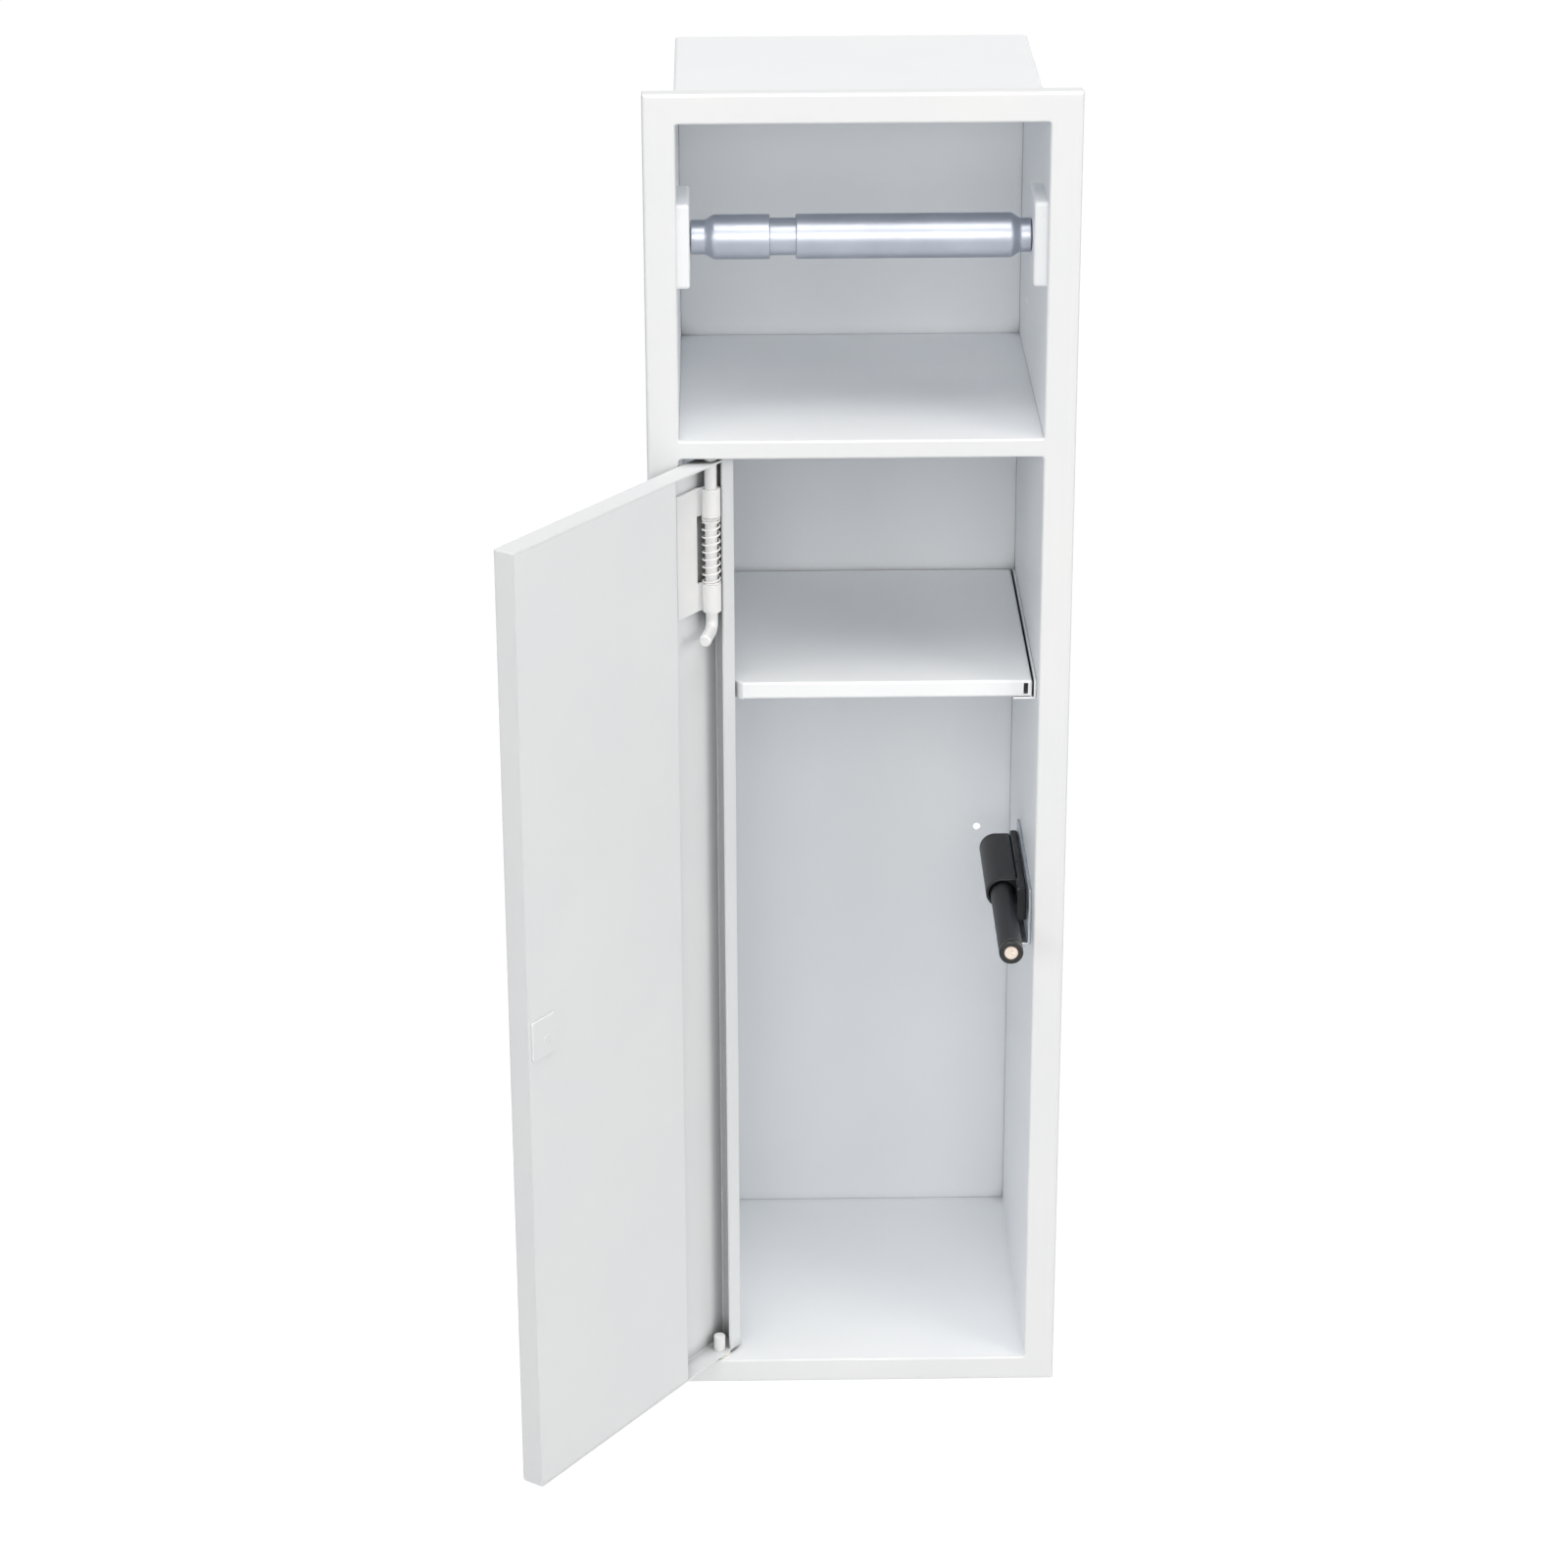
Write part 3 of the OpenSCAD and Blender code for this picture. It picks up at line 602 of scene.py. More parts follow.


# White polyester powder coat, sprayed and baked on sheet steel: satin, with a faint orange peel whose
# waves are 2 mm long, drawn a little coarser than real so that it shows. Narrow gaps and inner corners
# get painted shade, because the soft lamps leave them lighter than they look on the real sheet
POWDER_COAT = Finish("white_powder_coat", "powder_coat", "#F4F8FC", "#F2F6FB", (0.36, 0.46),
                     Texture.ORANGE_PEEL, grain=2.0, relief=0.012, painted_shade_reach=12.0)
# The same coat on the face frame and the strike plate, a shade greyer as painted shade, because these
# lamps light the front more against the inside than daylight does
FRONT_COAT_PAINTED_SHADE = replace(POWDER_COAT, name="white_coat_front_painted_shade", colour="#E9EDF0", shade="#E7EBEF")
# The same coat on the door, with more painted shade in its hinge channel, which is deep and narrow
DOOR_COAT_PAINTED_SHADE = replace(FRONT_COAT_PAINTED_SHADE, name="white_coat_door_painted_shade", painted_shade_reach=11.0, painted_shade_tone=0.08,
                    painted_shade_open=0.8)
# The same coat on the hinge's leaf and pins, a little smoother, and without painted shade in crevices,
# which would darken the pin between the spring's coils
COATED_HINGE = Finish("white_coated_hinge", "powder_coat", "#F2F4F6", "#ECEEF1", (0.32, 0.42),
                      Texture.ORANGE_PEEL, grain=1.4, relief=0.01, patch=30.0)
# The same coat on the spring's wire, thinner and a little brighter where the coils rub
COATED_WIRE = Finish("white_coated_wire", "powder_coat", "#FAFAFA", "#F2F3F4", (0.3, 0.42),
                     Texture.ORANGE_PEEL, grain=0.8, relief=0.01, patch=9.0)
# The same coat over the steel clip that the spring pushes on, rubbed a little at its rim
COATED_CLIP = Finish("white_coated_clip", "bare_steel", "#EBEBEB", "#E2E3E4", (0.32, 0.44),
                     Texture.ORANGE_PEEL, grain=0.8, relief=0.008, patch=6.0)
# Zinc plate on cold-rolled steel: pale bluish grey with soft cloudy patches
ZINC_PLATE = Finish("zinc_plated_steel", "bare_steel", "#C9CED6", "#B4BAC3", (0.26, 0.42),
                    Texture.PLATED, grain=0.7, relief=0.004, patch=12.0, metallic=1.0)
# Bare spring wire, drawn through a die, with fine lines along it
SPRING_WIRE = Finish("drawn_spring_wire", "bare_steel", "#A9ADB2", "#8F949A", (0.22, 0.36),
                     Texture.DRAWN, grain=0.4, relief=0.003, patch=8.0, metallic=1.0)
# Metallised ABS moulding: bright like chrome but a little soft, as plastic under a thin plating is
METALLISED_ABS = Finish("metallised_abs", "roller_plastic", "#B4BAC5", "#ABB1BD", (0.36, 0.44),
                        Texture.PLATED, grain=2.4, relief=0.01, patch=25.0, metallic=1.0)
# Black acetal of the latch, moulded in a spark-grained tool: blue-black with a soft sheen
LATCH_ACETAL = Finish("black_acetal", "latch_plastic", "#111318", "#16181D", (0.38, 0.5),
                      Texture.SPARK_GRAIN, grain=0.5, relief=0.012, patch=14.0)
# The ring at the tip in softer black plastic, worn shinier by the door
TIP_PLASTIC = Finish("black_tip", "latch_plastic", "#181718", "#201F1F", (0.28, 0.4),
                     Texture.SPARK_GRAIN, grain=0.4, relief=0.008, patch=4.0)
# Natural nylon bushes and washer: milky, moulded smooth
NYLON = Finish("natural_nylon", "nylon", "#F2F2F0", "#EBEBE8", (0.34, 0.46),
               Texture.SPARK_GRAIN, grain=0.6, relief=0.006, patch=10.0)
# Nickel-plated magnet, warm beside the cool walls, with faint rub marks
MAGNET_NICKEL = Finish("nickel_magnet", "magnet", "#F0E4DA", "#E6D6C8", (0.24, 0.4),
                       Texture.PLATED, grain=0.5, relief=0.004, patch=3.0, metallic=0.6)


def make_piece(name: str, shape: Shape, nodes: tuple[str, ...], finish: Finish, edge: float = 0.0,
               flats: float = 32.0) -> bpy.types.Object:
    """Makes a piece of a shape, in its finish and on the body of the CAD nodes that it stands for.

    Args:
        name: the piece's name.
        shape: its shells.
        nodes: CAD nodes that it stands for.
        finish: its finish.
        edge: radius that sharp edges get, in millimetres, or 0 for none.
        flats: angle in degrees past which an edge is sharp.

    Returns:
        The object.
    """
    mesh = bpy.data.meshes.new(name)
    mesh.from_pydata((shape.points * MM).tolist(), [], shape.faces)
    mesh.polygons.foreach_set("use_smooth", np.ones(len(mesh.polygons), bool))
    mesh.materials.append(finish.material())
    piece = bpy.data.objects.new(name, mesh)
    bpy.context.scene.collection.objects.link(piece)
    if edge:
        bevel = piece.modifiers.new("coated_edges", "BEVEL")
        bevel.width = edge * MM
        bevel.segments = 2
        bevel.limit_method = "ANGLE"
        bevel.angle_limit = math.radians(flats)
        bevel.use_clamp_overlap = True
    else:
        mesh.set_sharp_from_angle(angle=math.radians(flats))
    weighted = piece.modifiers.new("flat_faces_stay_flat", "WEIGHTED_NORMAL")
    weighted.keep_sharp = not edge
    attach(piece, frame["nodes"][nodes[0]]["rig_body"])
    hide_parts(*nodes)
    low = np.min([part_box(n)[0] for n in nodes], axis=0) / MM
    high = np.max([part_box(n)[1] for n in nodes], axis=0) / MM
    off = max(np.abs(shape.points.min(0) - low).max(), np.abs(shape.points.max(0) - high).max())
    LOG.info("%s: %d faces, within %.2f mm of the box of %s", name, len(shape.faces), off, ", ".join(nodes))
    return piece


def rectangle(x0: float, z0: float, x1: float, z1: float, bottom: tuple[float, ...] = (),
              right: tuple[float, ...] = (), top: tuple[float, ...] = (),
              left: tuple[float, ...] = ()) -> np.ndarray:
    """Corners of a rectangle, counter-clockwise, with extra points along its sides.

    Args:
        x0: lowest across.
        z0: lowest up.
        x1: highest across.
        z1: highest up.
        bottom: places across of the extra points on the lowest side, in rising order.
        right: heights of those on the right side.
        top: places of those on the highest side.
        left: heights of those on the left side.

    Returns:
        (points, 2) points.
    """
    low = [(x0, z0), *[(x, z0) for x in bottom], (x1, z0), *[(x1, z) for z in right]]
    high = [(x1, z1), *[(x, z1) for x in top[::-1]], (x0, z1), *[(x0, z) for z in left[::-1]]]
    return np.array(low + high, float)


def rectangle_about(centre: tuple[float, float], half_a: float, half_b: float, reach: int,
                    every: int = 10) -> np.ndarray:
    """Rectangle with points along its sides that lie at even angles as seen from its centre.

    Args:
        centre: its centre.
        half_a: half its width.
        half_b: half its height.
        reach: angle in degrees from the middle of a side to the side's last point.
        every: angle in degrees from point to point.

    Returns:
        (points, 2) points, counter-clockwise.
    """
    a, b = centre
    t = np.tan(np.radians(np.arange(-reach, reach + 1, every)))
    across, up = tuple(a + half_b * t), tuple(b + half_a * t)
    return rectangle(a - half_a, b - half_b, a + half_a, b + half_b, across, up, across, up)


def holed(outline: np.ndarray, profile: np.ndarray, radius: np.ndarray, centre: tuple[float, float],
          hole: list[tuple[float, float]]) -> np.ndarray:
    """Carries a profile round an outline, and goes on with rings round a hole, on the same spokes.

    Args:
        outline: (corners, 2) polygon.
        profile: (rows, 2) inset and height of each row.
        radius: (rows,) corner radius of each row.
        centre: the hole's centre.
        hole: radius and height of each ring.

    Returns:
        (rows + rings, points, 3) grid, closed round the hole.
    """
    grid = carry_round(outline, profile, radius, FINE_STEPS)
    spoke = grid[-1, :, :2] - centre
    spoke /= np.linalg.norm(spoke, axis=1, keepdims=True)
    rings = [np.column_stack([centre + r * spoke, np.full(len(spoke), h)]) for r, h in hole]
    return np.concatenate([grid, np.array(rings)])


def lattice(across: list[float], up: list[float], level: float) -> np.ndarray:
    """Flat grid of points (a, b, level) for each a across and b up."""
    a, b = np.meshgrid(np.array(across, float), np.array(up, float))
    return np.stack([a, b, np.full_like(a, level)], axis=-1)


# Sub-assemblies


@dataclass
class FaceFrame:
    """Face frame: one sheet with two openings, folded at the rim and for the lip on the wall."""

    half_w: float = 100.0
    half_h: float = 335.0
    depth: float = 9.0
    sheet: float = 1.2
    opening_w: float = 85.0
    openings: tuple[tuple[float, float], ...] = ((-322.0, 162.0), (171.0, 321.0))
    lip: float = 5.0
    inside: float = 0.4
    rim_corner: float = 0.9
    opening_corner: float = 1.2
    turned_back: float = 1.3
    turn_steps: int = 6
    rim_band: float = 3.0
    least_corner: float = 0.05

    def rim(self, parting: float) -> Patch:
        """Makes the lip, the rim and the front's outer band.

        Args:
            parting: height at which the two rings part, where both sides get a point.

        Returns:
            The patch, from the lip inwards.
        """
        outline = rectangle(-self.half_w, -self.half_h, self.half_w, self.half_h,
                            right=(parting,), left=(parting,))
        lines = fold([(self.lip, 0), (0, 0), (0, -self.depth), (self.rim_band, -self.depth)],
                     self.sheet, self.inside)
        grids = []
        for line in lines:
            radius = np.maximum(self.rim_corner - line[:, 0], self.least_corner)
            radius[-1] = 0.0
            grids.append(carry_round(outline, line, radius))
        return Patch(*grids, closed=True)

    def ring(self, opening: tuple[float, float], low: float, high: float) -> Patch:
        """Front from the rim's band to one opening, whose edge turns back round a quarter of a circle.

        At angle a of the turn the edge lies k = t - r sin a outside the opening, where t is the size
        of the turned edge and r the face's own radius, with the corner's radius grown by k.

        Args:
            opening: lowest and highest point of the opening.
            low: lower end of this part of the front.
            high: its upper end.

        Returns:
            The patch, from the outline to the turned edge.
        """
        outline = rectangle(-self.half_w + self.rim_band, low, self.half_w - self.rim_band, high)
        hole = rectangle(-self.opening_w, opening[0], self.opening_w, opening[1])
        a = np.linspace(0, np.pi / 2, self.turn_steps + 1)
        grids = []
        for radius in (self.turned_back, self.turned_back - self.sheet):
            outside = self.turned_back - radius * np.sin(a)
            height = -self.depth + self.turned_back - radius * np.cos(a)
            profile = np.stack([np.append(0, -outside), np.append(height[0], height)], axis=-1)
            corner = np.append(0.0, self.opening_corner + outside)
            polygons = np.array([outline] + [hole] * len(a))
            grids.append(carry_round(polygons, profile, corner))
        return Patch(*grids, closed=True)

    def shape(self) -> Shape:
        """Welds the rim's patch and the two rings, which meet at mid-height of the middle rail.

        Returns:
            The frame's shape.
        """
        parting = (self.openings[0][1] + self.openings[1][0]) / 2
        end = self.half_h - self.rim_band
        patches = [self.rim(parting), self.ring(self.openings[0], -end, parting),
                   self.ring(self.openings[1], parting, end)]
        return Shape().sheet(patches, FRONT_VIEW.place)

    def build(self) -> None:
        """Makes the face frame."""
        make_piece("face_frame", self.shape(), ("front_frame",), FRONT_COAT_PAINTED_SHADE)


@dataclass
class RecessBox:
    """Box in the wall: wrapped shell, back panel, divider, shelf ledges and pivot bushes."""

    half_w: float = 85.0
    floor: float = -322.0
    roof: float = 321.0
    shell_front: float = -7.7
    back: float = 161.0
    sheet: float = 1.0
    screw_r: float = 2.0
    side_hole_y: float = 115.0
    side_holes: tuple[float, float] = (-202.0, 201.0)
    back_hole_x: float = 67.5
    back_holes: tuple[float, float] = (-100.0, 225.0)
    divider_low: float = 162.0
    divider_high: float = 171.0
    divider_return: float = 27.0
    notch: tuple[float, float] = (6.5, 165.0)
    flange_low: float = 158.0
    flange_front: float = 29.0
    pivot: tuple[float, float] = (-70.5, -2.0)
    bush_hole_r: float = 4.55
    bush_r: float = 4.5
    bush_flange_r: float = 5.5
    bush_bore: float = 3.03
    ledge_w: float = 11.0
    ledge_sheet: float = 1.2
    shelf_low: float = 36.5
    shelf_high: float = 45.0
    ledge_back: float = 160.0
    ledge_fronts: tuple[float, float] = (4.0, 12.85)
    hole_room: float = 5.0
    bush_room: float = 6.0
    bush_room_shell: float = 5.2
    bush_room_tray: float = 5.1
    corner: float = 1.6
    corner_inside: float = 0.6
    back_edge: float = 0.25
    least_corner: float = 0.1
    fold_inside: float = 0.3
    bush_flange: float = 0.8
    bush_edge: float = 0.25
    bush_chamfer: float = 0.3
    upper_bush: float = 6.0
    lower_bush: float = 5.0

    def shell(self) -> Shape:
        """Carries the box's depth lines round its rectangle, with the screw and bush holes bored.

        Returns:
            The shell's shape.
        """
        x, y = self.pivot
        room = self.hole_room
        levels = tuple(z + s * room for z in self.side_holes for s in (-1, 1))
        wide = self.half_w + self.sheet
        outline = rectangle(-wide, self.floor - self.sheet, wide, self.roof + self.sheet,
                            bottom=(x - self.bush_room, x + self.bush_room), right=levels, left=levels)
        end = self.back + self.sheet
        depths = [self.shell_front, y - self.bush_room_shell, y + self.bush_room_shell,
                  self.side_hole_y - room, self.side_hole_y + room, end - self.back_edge, end]
        insets = np.zeros(len(depths))
        insets[-1] = self.back_edge
        outside = carry_round(outline, np.stack([insets, depths], -1),
                              np.maximum(self.corner - insets, self.least_corner))
        inside = carry_round(outline, np.stack([self.sheet - insets, depths], -1),
                             np.full(len(depths), self.corner_inside))
        corner = ARC_STEPS + 1
        right_start = corner + 2 + corner
        left_start = right_start + len(levels) + 2 * corner
        bores = [Bore(1, corner, (x, self.floor, y), self.bush_hole_r)]
        for k, z in enumerate(self.side_holes):
            bores.append(Bore(3, right_start + 2 * k, (self.half_w, z, self.side_hole_y), self.screw_r))
            bores.append(Bore(3, left_start + 2 * (1 - k), (-self.half_w, z, self.side_hole_y),
                              self.screw_r))
        return Shape().sheet([Patch(outside, inside, closed=True, bores=tuple(bores))], FRONT_VIEW.place)

    def back_panel(self) -> Shape:
        """Makes the flat panel with its four screw holes.

        Returns:
            The panel's shape.
        """
        x, room = self.back_hole_x, self.hole_room
        across = [-self.half_w, -x - room, -x + room, x - room, x + room, self.half_w]
        up = [self.floor, *[z + s * room for z in self.back_holes for s in (-1, 1)], self.roof]
        bores = tuple(Bore(1 + 2 * j, 1 + 2 * i, (s * x, z, self.back), self.screw_r)
                      for i, s in enumerate((-1, 1)) for j, z in enumerate(self.back_holes))
        near, far = (lattice(across, up, level) for level in (self.back, self.back + self.sheet))
        return Shape().sheet([Patch(near, far, bores=bores)], FRONT_VIEW.place)

    def divider(self) -> Shape:
        """Tray behind the middle rail: niche floor, back flange, web, underside and side flanges.

        Returns:
            The tray's shape.
        """
        x, y = self.pivot
        low, high, front = self.divider_low, self.divider_high, self.shell_front
        wide, sheet = self.half_w, self.sheet
        lines = fold([(self.back, self.flange_low), (self.back, high), (front, high)], sheet,
                     self.fold_inside)
        tray = Shape().sheet([Patch(*[extrude(line, [-wide, wide]) for line in lines])], SIDE_VIEW.place)
        across = [-wide, x - self.bush_room, x + self.bush_room, wide]
        up = [front, y - self.bush_room_tray, y + self.bush_room_tray, self.divider_return]
        tray.sheet([Patch(lattice(across, up, low), lattice(across, up, low + sheet),
                          bores=(Bore(1, 1, (x, y, low), self.bush_hole_r),))], PLAN_VIEW.place)
        notch_w, notch_high = self.notch
        across = [-wide, x - notch_w, x + notch_w, wide]
        up = [low + sheet, notch_high, high - sheet]
        web = Patch(lattice(across, up, front), lattice(across, up, front + sheet), cut=((0, 1),))
        tray.sheet([web], FRONT_VIEW.place)
        across = [self.flange_front, self.back - sheet]
        up = [self.flange_low, high - sheet]
        for side in (-1, 1):
            faces = [lattice(across, up, side * level) for level in (wide, wide - sheet)]
            tray.sheet([Patch(*faces)], SIDE_VIEW.place)
        return tray

    def ledge(self, front: float) -> Shape:
        """Makes the angle under the right end of the shelf.

        Args:
            front: depth at which it starts.

        Returns:
            The angle's shape.
        """
        side, low = self.half_w, self.shelf_low - self.ledge_sheet
        line, other = fold([(side - self.ledge_w, low), (side, low), (side, self.shelf_high)],
                           self.ledge_sheet, self.fold_inside)
        stations = [front, self.ledge_back]
        return Shape().sheet([Patch(extrude(line, stations), extrude(other, stations))], FRONT_VIEW.place)

    def bush(self, low: float, high: float, flange: float) -> Shape:
        """Turns a nylon bush with a flange above the sheet that it sits in.

        Args:
            low: its lower end.
            high: its upper end, where it stands above the flange.
            flange: height of the flange's lower face.

        Returns:
            The bush's shape.
        """
        top, chamfer = flange + self.bush_flange, self.bush_chamfer
        ring = [(self.bush_bore, low), (self.bush_r, low), (self.bush_r, flange),
                (self.bush_flange_r, flange), *rounding(self.bush_flange_r, top, self.bush_edge, 1),
                (self.bush_r, top)]
        if high > top:
            ring += [(self.bush_r, high - chamfer), (self.bush_r - chamfer, high)]
            top = high
        ring += [(self.bush_bore + chamfer, top), (self.bush_bore, top - chamfer)]
        axes = Axes((1, 0, 0), (0, 1, 0), (0, 0, 1), (*self.pivot, 0.0))
        return Shape().solid(turn(ring), axes.place, ring=True)

    def build(self) -> None:
        """Makes the box's pieces."""
        make_piece("box_wrapper", self.shell(), ("cabinet_shell",), POWDER_COAT)
        make_piece("rear_panel", self.back_panel(), ("back_panel",), POWDER_COAT, edge=0.25)
        make_piece("niche_divider", self.divider(), ("divider_tray",), POWDER_COAT, edge=0.2)
        make_piece("shelf_angle_right", self.ledge(self.ledge_fronts[0]), ("shelf_ledge_right",),
                   POWDER_COAT, edge=0.25)
        make_piece("shelf_angle_left", self.ledge(self.ledge_fronts[1]).mirrored(), ("shelf_ledge_left",),
                   POWDER_COAT, edge=0.25)
        low, floor = self.divider_low, self.floor
        make_piece("upper_bush", self.bush(low, low + self.upper_bush, low + self.sheet),
                   ("top_pivot_bush",), NYLON)
        make_piece("lower_bush", self.bush(floor - self.lower_bush, floor, floor),
                   ("bottom_pivot_bush",), NYLON)


@dataclass
class Roller:
    """Two cover brackets and the sprung roller between them, in two telescoping halves."""

    bracket_in: float = 79.0
    wall: float = 85.0
    bracket_y: tuple[float, float] = (-2.0, 34.0)
    bracket_z: tuple[float, float] = (242.0, 282.0)
    sheet: float = 1.2
    axis_y: float = 16.0
    axis_z: float = 262.0
    radius: float = 10.35
    neck: float = 7.9
    pin: float = 4.2
    pin_length: float = 5.0
    pin_hole: float = 4.28
    shoulder_l: float = 5.5
    body_end: float = -30.0
    bore_end: float = 50.0
    bore: float = 8.7
    tube: float = 8.62
    cap_end: float = -42.0
    tube_end: float = 15.0
    gap: float = 0.3
    necks: tuple[float, float] = (4.4, 6.0)
    fold_inset: float = 2.0
    fold_inside: float = 0.4
    bracket_corner: float = 2.0
    least_corner: float = 0.4
    spoke_reach: int = 35
    pin_edge: float = 0.6
    pin_face: float = 0.9
    neck_edge: float = 0.7
    end_edge: float = 0.6
    tube_edge: float = 0.5
    bore_chamfer: float = 0.3
    round_points: int = 72
    spring_r: float = 6.4
    wire: float = 1.2
    coils: float = 9.0
    closed_coils: float = 1.2

    def bracket(self) -> Shape:
        """Cover with rounded corners, folded edges and a hole for the roller's end pin.

        Returns:
            The right bracket's shape.
        """
        y, z = self.bracket_y, self.bracket_z
        centre = (self.axis_y, self.axis_z)
        outline = rectangle_about(centre, (y[1] - y[0]) / 2, (z[1] - z[0]) / 2, self.spoke_reach)
        lines = fold([(0, self.wall), (0, self.bracket_in), (self.fold_inset, self.bracket_in)],
                     self.sheet, self.fold_inside)
        grids = [holed(outline, line, np.maximum(self.bracket_corner - line[:, 0], self.least_corner),
                       centre, [(self.pin_hole, line[-1, 1])]) for line in lines]
        return Shape().sheet([Patch(*grids, closed=True)], SIDE_VIEW.place)

    def end_profile(self, neck_length: float) -> list[tuple[float, float]]:
        """Outside of a roller end, from its pin's tip, with places counted from the bracket inwards.

        Args:
            neck_length: length of the neck between the bracket and the shoulder.

        Returns:
            Points (radius, place).
        """
        tip = -self.pin_length
        return [(self.pin - self.pin_face, tip), *rounding(self.pin, tip, self.pin_edge, 0),
                (self.pin, self.gap), *rounding(self.neck, self.gap, self.neck_edge, 0),
                *shoulder(self.gap + neck_length, self.shoulder_l, self.neck, self.radius)]

    def body(self) -> Shape:
        """Right half, bored for the sleeve.

        Returns:
            The body's shape.
        """
        length, depth = self.bracket_in - self.body_end, self.bracket_in - self.bore_end
        profile = [*self.end_profile(self.necks[0]), *rounding(self.radius, length, self.end_edge, 1),
                   (self.bore + self.bore_chamfer, length), (self.bore, length - self.bore_chamfer),
                   (self.bore, depth)]
        axes = Axes((0, 1, 0), (0, 0, 1), (-1, 0, 0), (self.bracket_in, self.axis_y, self.axis_z))
        return Shape().solid(turn(profile, self.round_points), axes.place)

    def sleeve(self) -> Shape:
        """Left half: end cap and the tube that slides in the body.

        Returns:
            The sleeve's shape.
        """
        cap, end = self.cap_end + self.bracket_in, self.tube_end + self.bracket_in
        profile = [*self.end_profile(self.necks[1]), *rounding(self.radius, cap, self.end_edge, 1),
                   (self.tube, cap), *rounding(self.tube, end, self.tube_edge, 1)]
        axes = Axes((0, 1, 0), (0, 0, 1), (1, 0, 0), (-self.bracket_in, self.axis_y, self.axis_z))
        return Shape().solid(turn(profile, self.round_points), axes.place)

    def build(self) -> None:
        """Makes the brackets, both halves and the spring between them."""
        cover = self.bracket()
        make_piece("roller_cover_right", cover, ("roller_bracket_right",), POWDER_COAT)
        make_piece("roller_cover_left", cover.mirrored(), ("roller_bracket_left",), POWDER_COAT)
        make_piece("roller_right_half", self.body(), ("roller_body",), METALLISED_ABS)
        make_piece("roller_left_half", self.sleeve(), ("roller_sleeve",), METALLISED_ABS)
        axes = Axes((0, 1, 0), (0, 0, 1), (1, 0, 0), (0.0, self.axis_y, self.axis_z))
        spring = CoilSpring(self.spring_r, self.wire, self.tube_end, self.bore_end, self.coils,
                            self.closed_coils)
        piece = make_piece("roller_coil", spring.shape(axes), ("roller_spring",), SPRING_WIRE)
        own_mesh(piece)


@dataclass
class CoilSpring:
    """Compression spring with closed end coils."""

    radius: float
    wire: float
    start: float
    end: float
    turns: float
    closed: float = 1.0
    per_turn: int = 28
    sides: int = 10

    def shape(self, axes: Axes) -> Shape:
        """Wire along a helix, whose pitch is one wire in the end coils and even between.

        Args:
            axes: where the spring's axis lies, along the height direction.

        Returns:
            The spring's shape.
        """
        t = np.linspace(0, self.turns, int(self.turns * self.per_turn) + 1)
        low, high = self.start + self.wire / 2, self.end - self.wire / 2
        rise = self.closed * self.wire
        height = np.interp(t, [0, self.closed, self.turns - self.closed, self.turns],
                           [low, low + rise, high - rise, high])
        a = 2 * np.pi * t
        side = np.stack([np.cos(a), np.sin(a), 0 * a], axis=-1)
        path = self.radius * side + np.stack([0 * a, 0 * a, height], axis=-1)
        thick = np.full(len(t), self.wire / 2)
        return Shape().solid(tube(path, side, thick, self.sides), axes.place)


@dataclass
class CrossScrew:
    """Countersunk screw with a cross recess, which narrows to the two shares of its taper."""

    shank: float = 1.5
    head: float = 2.9
    head_length: float = 1.6
    length: float = 5.0
    proud: float = 0.12
    arm: float = 1.65
    arm_w: float = 0.62
    recess: float = 1.0
    point: float = 0.8
    point_r: float = 0.4
    rim: float = 0.1
    head_edge: float = 0.35
    taper: tuple[float, float] = (0.8, 0.35)
    taper_depth: float = 0.3
    round_points: int = 64

    def shape(self, axes: Axes) -> Shape:
        """Turned head and shank, then a recess whose edge is arm long and arm_w wide.

        At angle b from the nearest arm the recess reaches min(arm, arm_w / (2 sin b)).

        Args:
            axes: the head's face lies at height 0, and the shank runs down.

        Returns:
            The screw's shape.
        """
        outside = [(self.point_r, -self.length), (self.shank, -self.length + self.point),
                   (self.shank, -self.head_length), (self.head, -self.rim), (self.head, 0.0),
                   (self.head - self.head_edge, self.proud)]
        body = turn(outside, self.round_points)
        a = np.linspace(0, 2 * np.pi, self.round_points, endpoint=False)
        off = np.abs((a + np.pi / 4) % (np.pi / 2) - np.pi / 4)
        reach = np.minimum(self.arm, self.arm_w / 2 / np.maximum(np.sin(off), 1e-3))
        levels = ((1.0, self.proud), (self.taper[0], self.proud - self.taper_depth),
                  (self.taper[1], self.proud - self.recess))
        rows = [np.stack([k * reach * np.cos(a), k * reach * np.sin(a), np.full_like(a, h)], axis=-1)
                for k, h in levels]
        return Shape().solid(np.concatenate([body, np.array(rows)]), axes.place)


